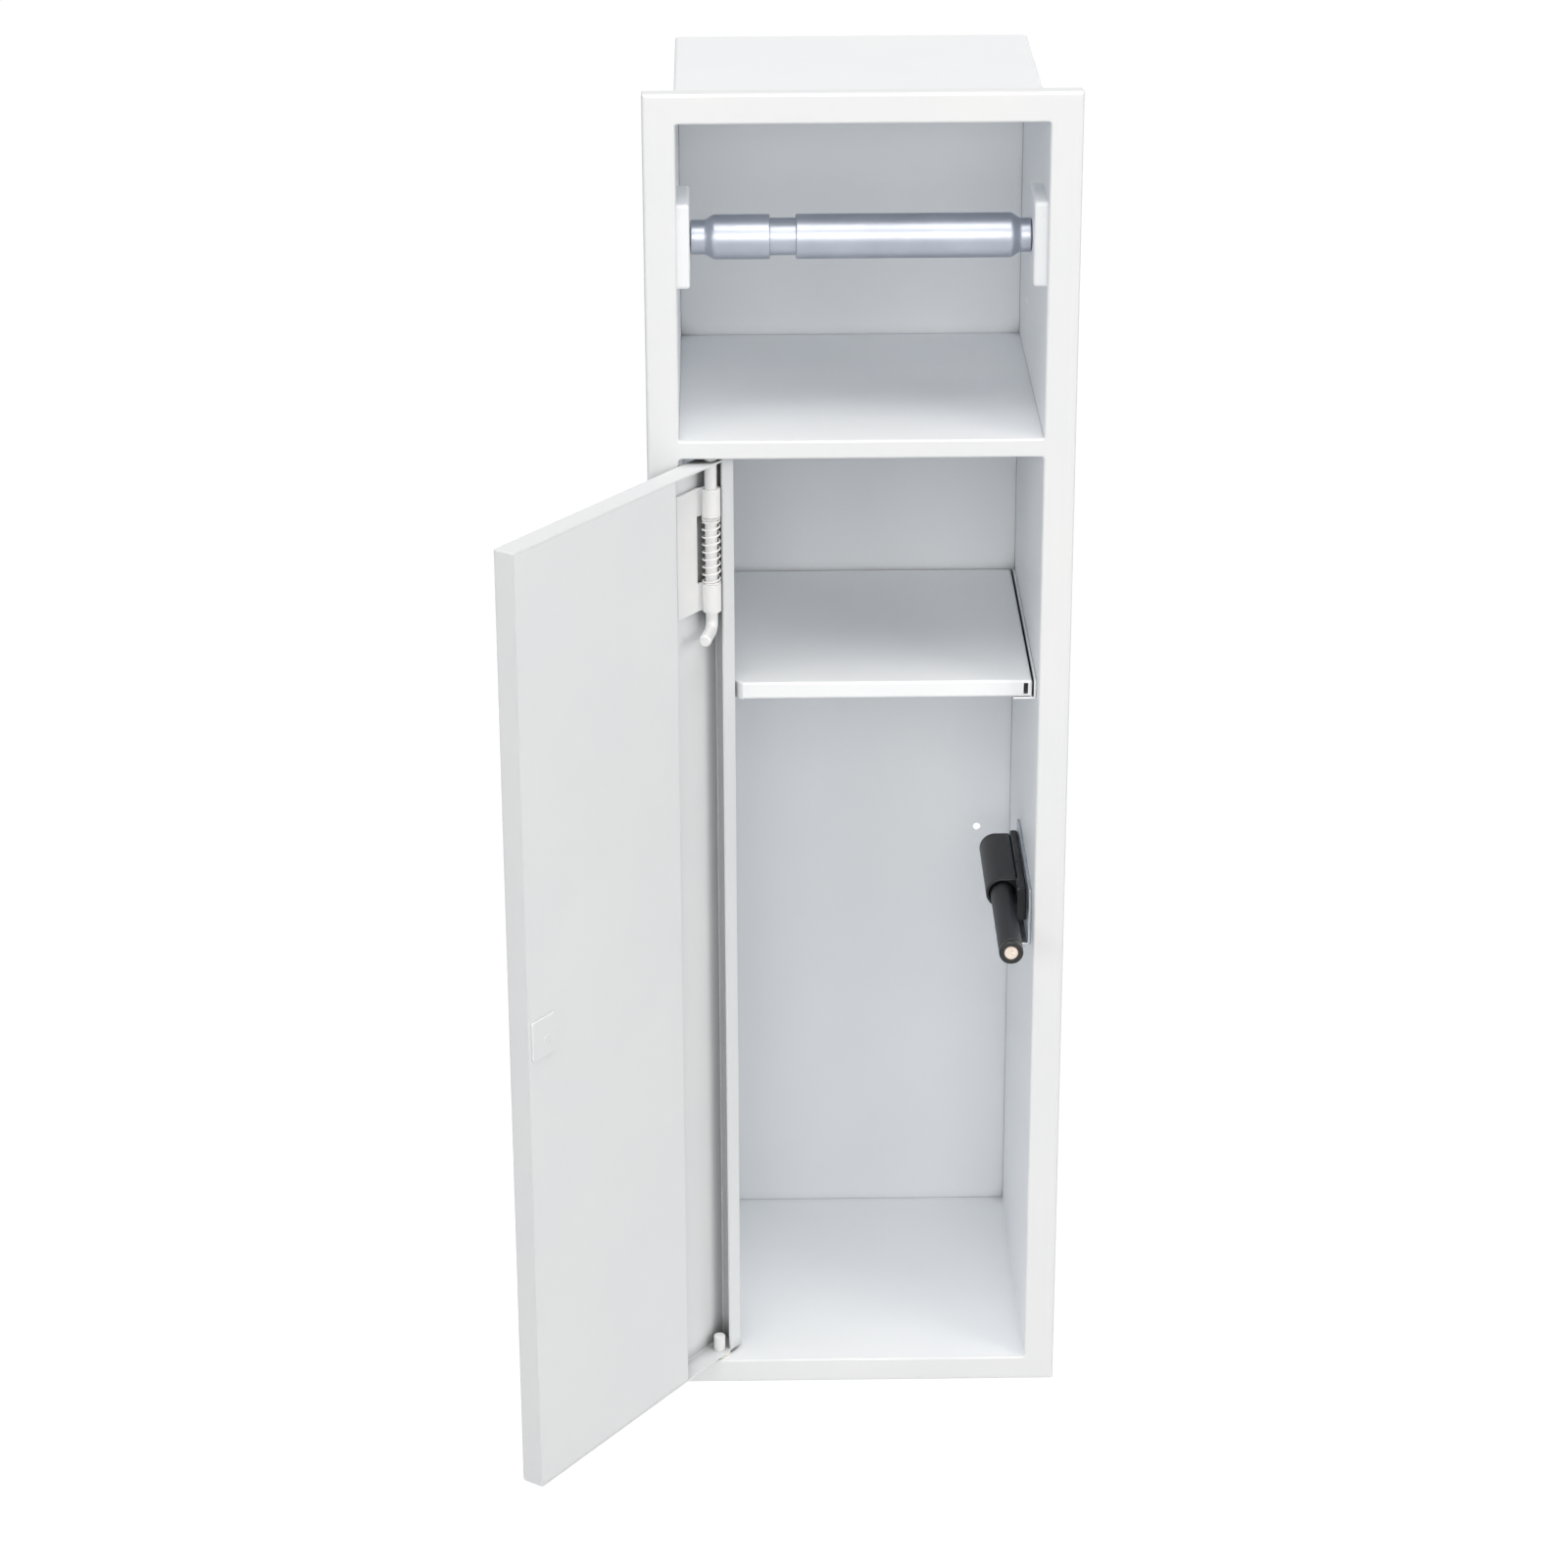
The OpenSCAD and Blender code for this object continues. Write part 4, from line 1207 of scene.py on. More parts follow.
@dataclass
class Door:
    """Door with its outer pan, inner panel, lower pivot and strike plate, drawn open.

    Its drawing axes are the closed door's: across to its free edge, and out from its front to its
    back, about the pivots' axis. pin_end holds how far in from its side and how far down from its
    top each point of the pivot's rounded chamfer lies.
    """

    pivot: tuple[float, float] = (-70.5, -2.0)
    open_deg: float = 125.957
    hinge_edge: float = -12.3
    free_edge: float = 154.0
    low: float = -320.0
    high: float = 160.0
    front: float = -7.0
    back: float = 5.0
    sheet: float = 1.0
    channel: float = 33.0
    lip_edge: float = -2.71
    pin_r: float = 2.95
    pin_bore: float = 3.03
    pin_low: float = -327.0
    pin_high: float = -311.0
    washer_r: float = 5.5
    washer_low: float = -320.9
    strike_x: float = 143.0
    strike_z: float = -81.0
    strike_w: float = 17.6
    strike_h: float = 20.0
    strike_t: float = 1.0
    screw_off: tuple[float, float] = (-1.8, -2.0)
    screw_l: float = 6.0
    pin_room: float = 1.5
    seam_level: float = 3.5
    front_run: float = 2.5
    fold_inside: float = 0.5
    lip_inside: float = 0.4
    pan_corner: float = 1.0
    least_corner: float = 0.15
    pin_chamfer: float = 0.8
    pin_end: tuple[tuple[float, float], ...] = ((0.0, 0.8), (0.25, 0.35), (0.8, 0.08))
    pin_face: float = 0.8
    washer_edge: float = 0.15
    strike_corner: float = 1.5
    strike_rim: float = 0.35
    strike_steps: int = 3
    strike_least: float = 0.2

    def axes(self, up: bool = True) -> Axes:
        """Axes of the open door.

        Args:
            up: drawn across and up, with the depth as the height direction. Otherwise in plan.

        Returns:
            The axes, about the pivots' axis.
        """
        a = math.radians(self.open_deg)
        across = (math.cos(a), -math.sin(a), 0.0)
        depth = (math.sin(a), math.cos(a), 0.0)
        origin = (*self.pivot, 0.0)
        return Axes(across, (0, 0, 1), depth, origin) if up else Axes(across, depth, (0, 0, 1), origin)

    def outer_pan(self) -> Shape:
        """Front plate with four folded returns, bored for the pins, and a lip folded beside the hinge.

        Three patches meet at one depth: the plate with the lower part of all returns, the upper part
        of three returns, and the hinge side's fold and lip.

        Returns:
            The pan's shape.
        """
        room, level = self.pin_bore + self.pin_room, self.seam_level
        outline = rectangle(self.hinge_edge, self.low, self.free_edge, self.high,
                            bottom=(-room, room), top=(-room, room))
        lines = fold([(0, level), (0, -level), (0, self.front), (self.front_run, self.front)],
                     self.sheet, self.fold_inside)
        plate = [carry_round(outline, line, np.maximum(self.pan_corner - line[:, 0], self.least_corner))
                 for line in lines]
        upper = [np.stack([grid[0] + (0, 0, self.back - level), grid[0]]) for grid in plate]
        corner = ARC_STEPS + 1
        bottom, top = corner, 3 * corner + 2
        bores = (Bore(0, bottom, (0.0, self.low, 0.0), self.pin_bore),
                 Bore(0, top, (0.0, self.high, 0.0), self.pin_bore))
        section = fold([(self.lip_edge, self.back), (self.hinge_edge, self.back), (self.hinge_edge, level)],
                       self.sheet, self.lip_inside)
        ends = [plate[0][0, -1, 1], plate[0][0, 0, 1]]
        lip = [extrude(line, ends)[..., (0, 2, 1)] for line in section]
        return Shape().sheet([Patch(*plate, closed=True, cap=-1, bores=bores), Patch(*upper), Patch(*lip)],
                             self.axes().place)

    def inner_panel(self) -> Shape:
        """Inner skin, folded down beside the hinge channel.

        Returns:
            The inner panel's shape.
        """
        line, other = fold([(self.free_edge - self.sheet, self.back), (self.channel, self.back),
                            (self.channel, self.front + self.sheet)], self.sheet, self.fold_inside)
        stations = [self.low + self.sheet, self.high - self.sheet]
        return Shape().sheet([Patch(extrude(line, stations), extrude(other, stations))],
                             self.axes(up=False).place)

    def lower_pin(self) -> Shape:
        """Lower pivot with a chamfer below and a rounded one at its top.

        Returns:
            The pivot's shape.
        """
        r, low, high, chamfer = self.pin_r, self.pin_low, self.pin_high, self.pin_chamfer
        profile = [(r - chamfer, low), (r, low + chamfer),
                   *[(r - inset, high - drop) for inset, drop in self.pin_end], (self.pin_face, high)]
        return Shape().solid(turn(profile), self.axes(up=False).place)

    def washer(self) -> Shape:
        """Plain washer under the door.

        Returns:
            The washer's shape.
        """
        low, high, edge = self.washer_low, self.low, self.washer_edge
        ring = [(self.pin_bore, low), (self.washer_r - edge, low), (self.washer_r, low + edge),
                (self.washer_r, high - edge), (self.washer_r - edge, high), (self.pin_bore, high)]
        return Shape().solid(turn(ring), self.axes(up=False).place, ring=True)

    def strike(self) -> Shape:
        """Plate for the magnet: four rounded corners and a rounded rim.

        Returns:
            The plate's shape.
        """
        half_w, half_h = self.strike_w / 2, self.strike_h / 2
        outline = rectangle(self.strike_x - half_w, self.strike_z - half_h,
                            self.strike_x + half_w, self.strike_z + half_h)
        top = self.back + self.strike_t
        a = np.linspace(0, np.pi / 2, self.strike_steps + 1)
        rim = self.strike_rim
        profile = np.array([(0, self.back), *zip(rim - rim * np.cos(a), top - rim + rim * np.sin(a))])
        grid = carry_round(outline, profile,
                           np.maximum(self.strike_corner - profile[:, 0], self.strike_least), FINE_STEPS)
        return Shape().solid(grid, self.axes().place)

    def build(self) -> None:
        """Makes the door's own pieces."""
        make_piece("door_pan", self.outer_pan(), ("door_outer_pan",), DOOR_COAT_PAINTED_SHADE)
        make_piece("door_lining", self.inner_panel(), ("door_inner_panel",), DOOR_COAT_PAINTED_SHADE, edge=0.2)
        make_piece("lower_pivot", self.lower_pin(), ("bottom_pivot_pin",), COATED_HINGE)
        make_piece("lower_washer", self.washer(), ("pivot_washer",), NYLON)
        make_piece("strike", self.strike(), ("strike_plate",), FRONT_COAT_PAINTED_SHADE)
        axes = self.axes()
        at = np.array(axes.place(np.array([self.strike_x + self.screw_off[0],
                                           self.strike_z + self.screw_off[1], self.back + self.strike_t])))
        head = Axes(axes.across, axes.up, axes.out, tuple(at))
        make_piece("strike_fixing", CrossScrew(length=self.screw_l).shape(head), ("strike_screw",),
                   FRONT_COAT_PAINTED_SHADE)


@dataclass
class SpringHinge:
    """Leaf with two rolled knuckles, and the pull-down pin with its clip and spring.

    pin_ways are ways in from each end of the pin, and pin_thinner says how much thinner it is at the
    end and at the first two of them.
    """

    door: Door
    leaf_low: float = 84.5
    leaf_high: float = 146.0
    leaf_w: float = 20.5
    leaf_level: float = -5.2
    sheet: float = 1.6
    knuckle: float = 14.0
    knuckle_r: float = 4.63
    neck_w: float = 5.03
    wrap_deg: float = 303.0
    pin_r: float = 2.95
    pin_top: float = 168.0
    handle_z: float = 75.5
    bend: float = 5.0
    reach: float = 18.0
    handle_deg: float = 25.0
    clip_z: tuple[float, float] = (130.9, 131.7)
    clip_r: float = 4.53
    clip_gap: float = 0.02
    clip_edge: float = 0.15
    spring_r: float = 4.1
    wire: float = 0.85
    coils: float = 10.0
    ease_steps: int = 8
    roll_steps: int = 36
    bend_steps: int = 14
    pin_ways: tuple[float, ...] = (0.25, 0.8, 1.2)
    pin_thinner: tuple[float, ...] = (0.8, 0.45, 0.1)
    pin_stations: tuple[float, ...] = (150.0, 120.0, 90.0)
    straight: float = 0.5
    round_points: int = 32

    def leaf(self) -> Shape:
        """Flat leaf whose two ends roll round the pin.

        The middle line runs straight to the neck, eases over by (1 - cos(pi s)) / 2 to the roll's
        radius, and then follows the circle about the pin.

        Returns:
            The leaf's shape.
        """
        roll = self.knuckle_r - self.sheet / 2
        s = np.linspace(0, 1, self.ease_steps + 1)[1:]
        ease = np.stack([self.neck_w * (1 - s), self.leaf_level
                         + (-roll - self.leaf_level) * (1 - np.cos(np.pi * s)) / 2], axis=-1)
        b = np.radians(np.linspace(0, self.wrap_deg, self.roll_steps + 1)[1:])
        arc = roll * np.stack([-np.sin(b), -np.cos(b)], axis=-1)
        flat = np.array([(self.leaf_w, self.leaf_level), (self.neck_w, self.leaf_level)])
        middle = np.concatenate([flat, ease, arc])
        way = np.gradient(middle, axis=0)
        way[0] = way[1] = (-1, 0)
        way /= np.linalg.norm(way, axis=1, keepdims=True)
        normal = np.stack([-way[:, 1], way[:, 0]], axis=-1)
        low, high = self.leaf_low, self.leaf_high
        stations = [low, low + self.knuckle, high - self.knuckle, high]
        grids = [extrude(middle + k * self.sheet / 2 * normal, stations) for k in (1, -1)]
        cut = tuple((row, 1) for row in range(1, len(middle) - 1))
        return Shape().sheet([Patch(*grids, cut=cut)], self.door.axes(up=False).place)

    def pin(self) -> Shape:
        """Pin bent at a quarter turn: down, round a bend of its radius, and out along the handle.

        Both ends get thinner in steps, each a way in from the end's face.

        Returns:
            The pin's shape.
        """
        a = math.radians(self.handle_deg)
        out = np.array([math.cos(a), math.sin(a), 0])
        up = np.array([0, 0, 1.0])
        tip, foot = self.pin_top, self.handle_z + self.bend
        heights = np.array([tip, *[tip - way for way in self.pin_ways], *self.pin_stations,
                            foot + self.straight])
        shaft = heights[:, None] * up
        t = np.linspace(0, np.pi / 2, self.bend_steps + 1)[:, None]
        bend = foot * up + self.bend * ((1 - np.cos(t)) * out - np.sin(t) * up)
        along = np.array([self.bend + self.straight, *[self.reach - way for way in self.pin_ways[::-1]],
                          self.reach])
        handle = self.handle_z * up + along[:, None] * out
        path = np.concatenate([shaft, bend, handle])
        radius = np.full(len(path), self.pin_r)
        ends = len(self.pin_thinner)
        radius[:ends] = radius[-1:-ends - 1:-1] = self.pin_r - np.array(self.pin_thinner)
        side = np.broadcast_to(np.array([-math.sin(a), math.cos(a), 0]), path.shape)
        return Shape().solid(tube(path, side, radius, self.round_points), self.door.axes(up=False).place)

    def clip(self) -> Shape:
        """Ring that holds the spring's upper end on the pin.

        Returns:
            The clip's shape.
        """
        low, high = self.clip_z
        outer, inner, edge = self.clip_r, self.pin_r + self.clip_gap, self.clip_edge
        ring = [(inner, low), (outer - edge, low), (outer, low + edge), (outer, high - edge),
                (outer - edge, high), (inner, high)]
        return Shape().solid(turn(ring), self.door.axes(up=False).place, ring=True)

    def build(self) -> None:
        """Makes the hinge's pieces."""
        make_piece("hinge_leaf_rolled", self.leaf(), ("hinge_leaf",), COATED_HINGE, edge=0.3)
        make_piece("pull_pin", self.pin(), ("hinge_pin",), COATED_HINGE)
        make_piece("spring_clip", self.clip(), ("pin_clip",), COATED_CLIP)
        start = self.leaf_low + self.knuckle
        spring = CoilSpring(self.spring_r, self.wire, start, self.clip_z[0], self.coils)
        piece = make_piece("hinge_coil", spring.shape(self.door.axes(up=False)), ("hinge_spring",),
                           COATED_WIRE)
        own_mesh(piece)


@dataclass
class Shelf:
    """Loose shelf: a tray turned over, with its front left corner cut off for the door."""

    half_w: float = 83.0
    front: float = 4.0
    back: float = 160.0
    low: float = 36.5
    high: float = 45.0
    sheet: float = 1.0
    cut_x: float = -55.994
    cut_y: float = 31.006
    slot: tuple[float, float] = (78.8, 81.0)
    slot_low: float = 38.0
    flange_back: float = 19.0
    top_run: float = 1.6
    corner: float = 0.8
    least_corner: float = 0.15
    top_inside: float = 0.3
    flange_inside: float = 0.4

    def shape(self) -> Shape:
        """Carries the folded edge round the outline, with a slot in the front edge.

        Below the slot the sides and the back run straight on, and the front folds under into a flange.

        Returns:
            The shelf's shape.
        """
        slot_start, slot_end = self.slot
        outline = np.array([(self.cut_x, self.front), (slot_start, self.front), (slot_end, self.front),
                            (self.half_w, self.front), (self.half_w, self.back),
                            (-self.half_w, self.back), (-self.half_w, self.cut_y)])
        lines = fold([(self.top_run, self.high), (0, self.high), (0, self.slot_low)], self.sheet,
                     self.top_inside)
        top = [carry_round(outline, line, np.maximum(self.corner - line[:, 0], self.least_corner))
               for line in lines]
        start, row = ARC_STEPS + 1, len(lines[0]) - 2
        front = slice(start - 1, start + 3)
        others = np.roll(np.arange(top[0].shape[1]), -(start + 2))[:-2]
        drop = (0, 0, self.low - self.slot_low)
        edge = [np.stack([grid[-1, others], grid[-1, others] + drop]) for grid in top]
        section = fold([(self.front, self.slot_low), (self.front, self.low), (self.flange_back, self.low)],
                       self.sheet, self.flange_inside)
        stations = list(top[0][-1, front, 0])
        flange = [extrude(line, stations)[..., (2, 0, 1)] for line in section]
        slotted = Patch(*top, closed=True, cap=0, cut=((row, start),))
        return Shape().sheet([slotted, Patch(*edge), Patch(*flange)], PLAN_VIEW.place)

    def build(self) -> None:
        """Makes the shelf."""
        make_piece("shelf_tray", self.shape(), ("shelf_panel",), POWDER_COAT)


@dataclass
class PushLatch:
    """Magnetic push latch on the right wall: steel bracket, base, housing, plunger and spring.

    bar_end, groove and block_edge hold the inset of each point and its way along, mouth how much
    wider the housing's bore is at each depth, and waist how much thinner the ring is behind, and
    how far from its back the slope to that ends and starts.
    """

    axis_x: float = 72.5
    axis_z: float = -81.0
    wall: float = 85.0
    bracket_face: float = 83.5
    bracket_y: tuple[float, float] = (4.8, 92.5)
    bracket_z: tuple[float, float] = (-96.0, -66.0)
    lip_x: float = 78.5
    base_face: float = 80.0
    block_face: float = 78.9
    pocket_r: float = 2.95
    base_y: tuple[float, float] = (21.0, 92.5)
    base_half_h: float = 9.0
    groove_y: tuple[float, ...] = (52.5, 75.5)
    housing_y: tuple[float, float] = (34.0, 91.0)
    housing_r: float = 8.0
    end_wall: float = 2.5
    plunger: float = 5.9
    tip_y: float = -35.7
    ring_l: float = 4.7
    tube_end: float = 46.5
    tube_bore: float = 4.0
    spring_start: float = -25.0
    magnet: float = 3.5
    screws_y: tuple[float, float] = (27.5, 60.0)
    screw_l: float = 4.95
    bracket_inside: float = 0.5
    bar_end: tuple[tuple[float, float], ...] = ((0.7, 0.0), (0.2, 0.2), (0.0, 0.7))
    groove: tuple[tuple[float, float], ...] = ((0.0, -0.45), (0.5, -0.3), (0.5, 0.3), (0.0, 0.45))
    bar_corner: float = 0.9
    least_corner: float = 0.2
    block_sink: float = 0.6
    block_edge: tuple[tuple[float, float], ...] = ((0.0, 0.35), (0.1, 0.1), (0.35, 0.0))
    block_corner: float = 1.8
    pocket_edge: float = 0.2
    spoke_reach: int = 25
    case_points: int = 96
    case_power: float = 14.0
    case_edge: float = 0.8
    plunger_room: float = 0.08
    mouth: tuple[tuple[float, float], ...] = ((0.0, 2.2), (0.7, 1.5), (0.7, 0.2), (0.9, 0.0))
    round_points: int = 64
    face_r: float = 1.0
    tube_edge: float = 0.45
    chamfer: float = 0.3
    ring_edge: float = 0.7
    waist: tuple[float, float, float] = (0.35, 0.5, 0.9)
    magnet_room: float = 0.05
    rod: float = 2.0
    rod_point: float = 0.8
    rod_l: float = 50.0
    rod_points: int = 32
    spring_r: float = 3.1
    wire: float = 0.8
    coils: float = 20.0
    closed_coils: float = 1.2
    spring_room: float = 0.1

    def axis(self) -> Axes:
        """Axes about the plunger, with depth into the wall as the height."""
        return Axes((0, 0, 1), (1, 0, 0), (0, 1, 0), (self.axis_x, 0.0, self.axis_z))

    def bracket(self) -> Shape:
        """Steel angle: plate on the wall and a lip folded below the latch.

        Returns:
            The angle's shape.
        """
        lines = fold([(self.lip_x, self.bracket_z[0]), (self.wall, self.bracket_z[0]),
                      (self.wall, self.bracket_z[1])], self.wall - self.bracket_face, self.bracket_inside)
        grids = [extrude(line, list(self.bracket_y)) for line in lines]
        return Shape().sheet([Patch(*grids)], FRONT_VIEW.place)

    def base(self) -> Shape:
        """Base bar with rounded ends and shallow grooves, and a block round the front screw's head.

        Returns:
            The base's shape.
        """
        outline = rectangle(self.base_face, self.axis_z - self.base_half_h, self.bracket_face,
                            self.axis_z + self.base_half_h)
        y0, y1 = self.base_y
        rows = [(inset, y0 + way) for inset, way in self.bar_end]
        for y in self.groove_y:
            rows += [(inset, y + way) for inset, way in self.groove]
        rows += [(inset, y1 - way) for inset, way in self.bar_end[::-1]]
        profile = np.array(rows)
        grid = carry_round(outline, profile, np.maximum(self.bar_corner - profile[:, 0], self.least_corner))
        bar = Shape().solid(grid, FRONT_VIEW.place)
        middle, half = (y0 + self.housing_y[0]) / 2, (self.housing_y[0] - y0) / 2
        face, low = self.block_face, self.base_face + self.block_sink
        side = np.array([(0, low), *[(inset, face + way) for inset, way in self.block_edge]])
        pocket = [(self.pocket_r + self.pocket_edge, face), (self.pocket_r, face + self.pocket_edge),
                  (self.pocket_r, low)]
        block = holed(rectangle_about((middle, self.axis_z), half, self.base_half_h, self.spoke_reach),
                      side, self.block_corner - side[:, 0], (self.screws_y[0], self.axis_z), pocket)
        return bar.solid(block, SIDE_VIEW.place, ring=True)

    def housing(self) -> Shape:
        """Housing, round on the left and flat on its base, bored from the front.

        Round the axis, at angle a from the base's direction, it reaches r on the round side, and
        (|cos a / f|^p + |sin a / r|^p)^(-1/p) on the flat side, f being the flat's distance.

        Returns:
            The housing's shape.
        """
        power = self.case_power
        a = np.linspace(0, 2 * np.pi, self.case_points, endpoint=False)
        flat = self.base_face - self.axis_x
        wide, high = np.abs(np.cos(a) / flat), np.abs(np.sin(a) / self.housing_r)
        reach = np.where(np.cos(a) > 0, (wide ** power + high ** power) ** (-1 / power), self.housing_r)
        y0, y1 = self.housing_y
        bore = np.full(self.case_points, self.plunger + self.plunger_room)
        t = np.linspace(0, np.pi / 2, ARC_STEPS + 1)
        soft = self.case_edge
        rows = [(bore, y1 - self.end_wall), *[(bore + wider, y0 + way) for wider, way in self.mouth]]
        rows += [(reach - soft + soft * s, y0 + soft - soft * c) for s, c in zip(np.sin(t), np.cos(t))]
        rows += [(reach - soft + soft * c, y1 - soft + soft * s) for s, c in zip(np.sin(t), np.cos(t))]
        r = np.array([row[0] for row in rows])
        h = np.array([row[1] for row in rows])[:, None]
        grid = np.stack([r * np.sin(a), r * np.cos(a), h + 0 * r], axis=-1)
        return Shape().solid(grid, self.axis().place)

    def plunger_tube(self) -> Shape:
        """Hollow plunger, closed at the front, with a small round at its front edge.

        Returns:
            The tube's shape.
        """
        front, end, chamfer = self.tip_y + self.ring_l, self.tube_end, self.chamfer
        profile = [(self.face_r, front), *rounding(self.plunger, front, self.tube_edge, 0),
                   (self.plunger, end - chamfer), (self.plunger - chamfer, end), (self.tube_bore, end),
                   (self.tube_bore, self.spring_start), (self.face_r, self.spring_start)]
        return Shape().solid(turn(profile, self.round_points), self.axis().place)

    def tip_ring(self) -> Shape:
        """Ring round the magnet, waisted behind and rounded in front.

        Returns:
            The ring's shape.
        """
        y, back = self.tip_y, self.tip_y + self.ring_l
        hole, chamfer = self.magnet + self.magnet_room, self.chamfer
        thinner, short, long = self.waist
        ring = [(hole, back), (hole, y + chamfer), (hole + chamfer, y),
                *rounding(self.plunger, y, self.ring_edge, 0), (self.plunger, back - long),
                (self.plunger - thinner, back - short), (self.plunger - thinner, back)]
        return Shape().solid(turn(ring, self.round_points), self.axis().place, ring=True)

    def magnet_disc(self) -> Shape:
        """Magnet with a small chamfer, set back in its ring by the same amount.

        Returns:
            The magnet's shape.
        """
        chamfer, back = self.chamfer, self.tip_y + self.ring_l
        y = self.tip_y + chamfer
        profile = [(self.face_r, y), (self.magnet - chamfer, y), (self.magnet, y + chamfer),
                   (self.magnet, back), (self.face_r, back)]
        return Shape().solid(turn(profile), self.axis().place)

    def guide_rod(self) -> Shape:
        """Rod inside the spring, pointed at its front.

        Returns:
            The rod's shape.
        """
        end, point = self.housing_y[1] - self.end_wall, self.rod_point
        start = end - self.rod_l
        profile = [(point, start), *rounding(self.rod, start, point, 0), (self.rod, end), (point, end)]
        return Shape().solid(turn(profile, self.rod_points), self.axis().place)

    def build(self) -> None:
        """Makes the latch's pieces."""
        make_piece("latch_plate", self.bracket(), ("latch_bracket",), ZINC_PLATE, edge=0.3)
        make_piece("latch_foot", self.base(), ("latch_base",), LATCH_ACETAL)
        make_piece("latch_case", self.housing(), ("latch_housing",), LATCH_ACETAL)
        make_piece("latch_rod", self.guide_rod(), ("latch_guide_rod",), ZINC_PLATE)
        make_piece("plunger", self.plunger_tube(), ("plunger_tube",), LATCH_ACETAL)
        make_piece("plunger_ring", self.tip_ring(), ("plunger_tip_ring",), TIP_PLASTIC)
        make_piece("plunger_magnet", self.magnet_disc(), ("tip_magnet",), MAGNET_NICKEL)
        screws = Shape()
        for y in self.screws_y:
            head = Axes((0, 1, 0), (0, 0, 1), (-1, 0, 0), (self.base_face, y, self.axis_z))
            one = CrossScrew(length=self.screw_l).shape(head)
            screws.add(one.points, one.faces)
        make_piece("latch_fixings", screws, ("latch_screws",), ZINC_PLATE)
        end = self.housing_y[1] - self.end_wall
        spring = CoilSpring(self.spring_r, self.wire, self.spring_start + self.spring_room,
                            end - self.spring_room, self.coils, self.closed_coils, per_turn=20, sides=8)
        piece = make_piece("latch_coil", spring.shape(self.axis()), ("latch_spring",), SPRING_WIRE)
        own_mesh(piece)


# Stage


@dataclass(frozen=True)
class Lamp:
    """A round soft lamp, aimed at the object's middle: place and size in metres, power in watts."""

    name: str
    place: tuple[float, float, float]
    power: float
    size: float


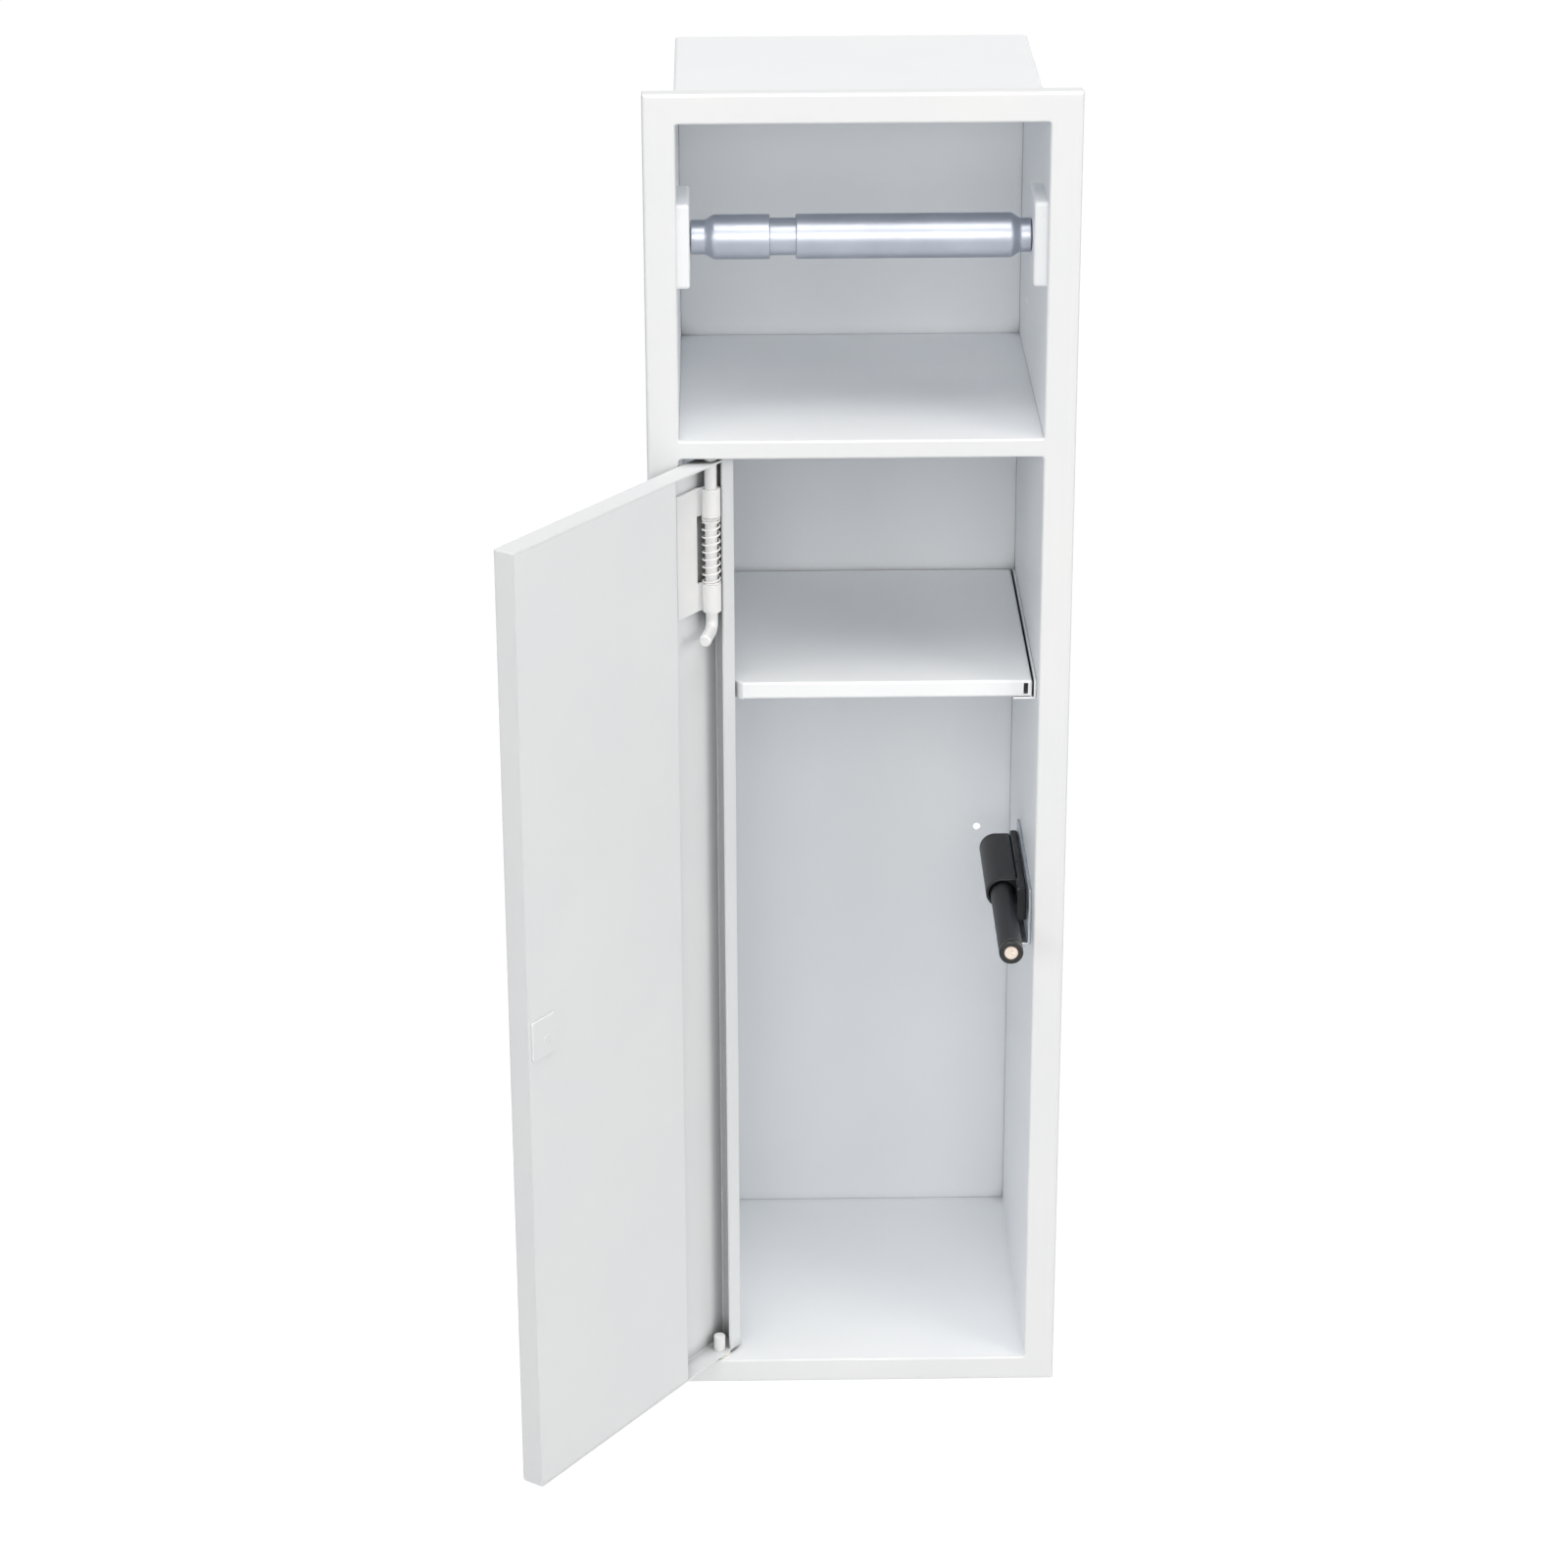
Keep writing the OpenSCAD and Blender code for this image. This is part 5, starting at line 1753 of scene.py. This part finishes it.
@dataclass
class Studio:
    """Camera, lamps, world and floor."""

    place: tuple[float, float, float] = (-64.134, -1864.41, 786.80)
    yaw: float = -0.0148
    pitch: float = 0.4021
    roll: float = -0.0035
    lens: float = 96.191
    sensor: float = 36.0
    far: float = 50.0
    floor_z: float = -0.75
    floor_half: float = 9.0
    floor_white: float = 0.85
    floor_glow: float = 1.15
    floor_tones: tuple[str, str] = ("#F4F4F4", "#F8F8F8")
    floor_scale: float = 3.0
    floor_detail: float = 4.0
    ambient: str = "#E4EDFB"
    ambient_strength: float = 0.2
    lamp_colour: str = "#FFF9F1"
    lamps: tuple[Lamp, ...] = (
        Lamp("front", (0.0, -2.8, 1.1), 25.0, 1.6),
        Lamp("left", (-1.9, -2.3, 1.0), 15.0, 1.6),
        Lamp("right", (2.4, -1.8, 1.2), 29.0, 1.6),
        Lamp("top", (0.0, -0.7, 2.9), 56.0, 2.4),
    )

    def camera(self) -> None:
        """Makes the camera, turned by yaw about Z, then pitched down, then rolled."""
        cy, sy = math.cos(self.yaw), math.sin(self.yaw)
        cp, sp = math.cos(self.pitch), math.sin(self.pitch)
        cr, sr = math.cos(self.roll), math.sin(self.roll)
        right, ahead, up = Vector((cy, sy, 0)), Vector((-sy, cy, 0)), Vector((0, 0, 1))
        ahead, up = cp * ahead - sp * up, sp * ahead + cp * up
        right, up = cr * right + sr * up, cr * up - sr * right
        data = bpy.data.cameras.new("camera")
        data.sensor_width = self.sensor
        data.lens = self.lens
        data.clip_end = self.far
        camera = bpy.data.objects.new("camera", data)
        columns = (right, up, -ahead, Vector(self.place) * MM)
        camera.matrix_world = Matrix([[v[k] for v in columns] for k in range(3)] + [[0, 0, 0, 1]])
        bpy.context.scene.collection.objects.link(camera)
        bpy.context.scene.camera = camera

    def world(self) -> None:
        """Soft cool light all round, and plain white where the camera or a reflection looks past."""
        world = bpy.data.worlds.new("studio")
        bpy.context.scene.world = world
        world.use_nodes = True
        tree = world.node_tree
        tree.nodes.clear()
        seen = self.seen(tree)
        light = add_node(tree, "ShaderNodeBackground", {"Color": linear(self.ambient),
                                                        "Strength": self.ambient_strength})
        white = add_node(tree, "ShaderNodeBackground", {"Color": linear("#FFFFFF"), "Strength": 1.0})
        both = add_node(tree, "ShaderNodeMixShader", {0: seen, 1: light.outputs[0], 2: white.outputs[0]})
        add_node(tree, "ShaderNodeOutputWorld", {"Surface": both.outputs[0]})

    @staticmethod
    def seen(tree: bpy.types.NodeTree) -> bpy.types.NodeSocket:
        """Adds up the camera, glossy and transmission rays, at most 1.

        Args:
            tree: node tree that takes the nodes.

        Returns:
            The sum.
        """
        rays = add_node(tree, "ShaderNodeLightPath").outputs
        two = add_node(tree, "ShaderNodeMath", {0: rays["Is Camera Ray"], 1: rays["Is Glossy Ray"]},
                       operation="ADD", use_clamp=True)
        return add_node(tree, "ShaderNodeMath", {0: two.outputs[0], 1: rays["Is Transmission Ray"]},
                        operation="ADD", use_clamp=True).outputs[0]

    def light(self, lamp: Lamp) -> None:
        """Makes one lamp, aimed at the origin.

        Args:
            lamp: its name, place, power and size.
        """
        data = bpy.data.lights.new(lamp.name, "AREA")
        data.shape = "DISK"
        data.size = lamp.size
        data.energy = lamp.power
        data.color = linear(self.lamp_colour)[:3]
        made = bpy.data.objects.new(lamp.name, data)
        made.location = lamp.place
        made.rotation_euler = (-Vector(lamp.place)).to_track_quat("-Z", "Y").to_euler()
        bpy.context.scene.collection.objects.link(made)

    def floor(self) -> None:
        """Pale matt floor well below the object, as it hangs in a wall; it keeps a soft shadow."""
        half = self.floor_half
        mesh = bpy.data.meshes.new("floor")
        mesh.from_pydata([(-half, -half, self.floor_z), (half, -half, self.floor_z),
                          (half, half, self.floor_z), (-half, half, self.floor_z)], [], [(0, 1, 2, 3)])
        made = bpy.data.materials.new("pale_floor")
        made.use_nodes = True
        tree = made.node_tree
        tree.nodes.clear()
        seen = self.seen(tree)
        share = add_node(tree, "ShaderNodeMath", {0: seen, 1: self.floor_white}, operation="MULTIPLY")
        place = add_node(tree, "ShaderNodeTexCoord").outputs["Object"]
        grain = add_node(tree, "ShaderNodeTexNoise", {"Vector": place, "Scale": self.floor_scale,
                                                      "Detail": self.floor_detail})
        dark, light = (linear(tone) for tone in self.floor_tones)
        tint = add_node(tree, "ShaderNodeMix",
                        {MIX_FACTOR: grain.outputs["Fac"], MIX_A: dark, MIX_B: light}, data_type="RGBA")
        matt = add_node(tree, "ShaderNodeBsdfDiffuse", {"Color": tint.outputs[MIX_OUT]})
        white = add_node(tree, "ShaderNodeEmission", {"Color": linear("#FFFFFF"),
                                                      "Strength": self.floor_glow})
        both = add_node(tree, "ShaderNodeMixShader", {0: share.outputs[0], 1: matt.outputs[0],
                                                      2: white.outputs[0]})
        add_node(tree, "ShaderNodeOutputMaterial", {"Surface": both.outputs[0]})
        mesh.materials.append(made)
        floor = bpy.data.objects.new("floor", mesh)
        bpy.context.scene.collection.objects.link(floor)

    def build(self) -> None:
        """Sets the stage."""
        self.camera()
        self.world()
        for lamp in self.lamps:
            self.light(lamp)
        self.floor()
        bpy.context.scene.view_settings.view_transform = "Standard"


def main() -> None:
    """Builds the stage and every sub-assembly."""
    logging.basicConfig(level=logging.INFO, format="%(message)s", stream=sys.stdout)
    Studio().build()
    door = Door()
    for part in (FaceFrame(), RecessBox(), Roller(), door, SpringHinge(door), Shelf(), PushLatch()):
        LOG.info("building %s", type(part).__name__)
        part.build()


if __name__ == "__main__":
    main()
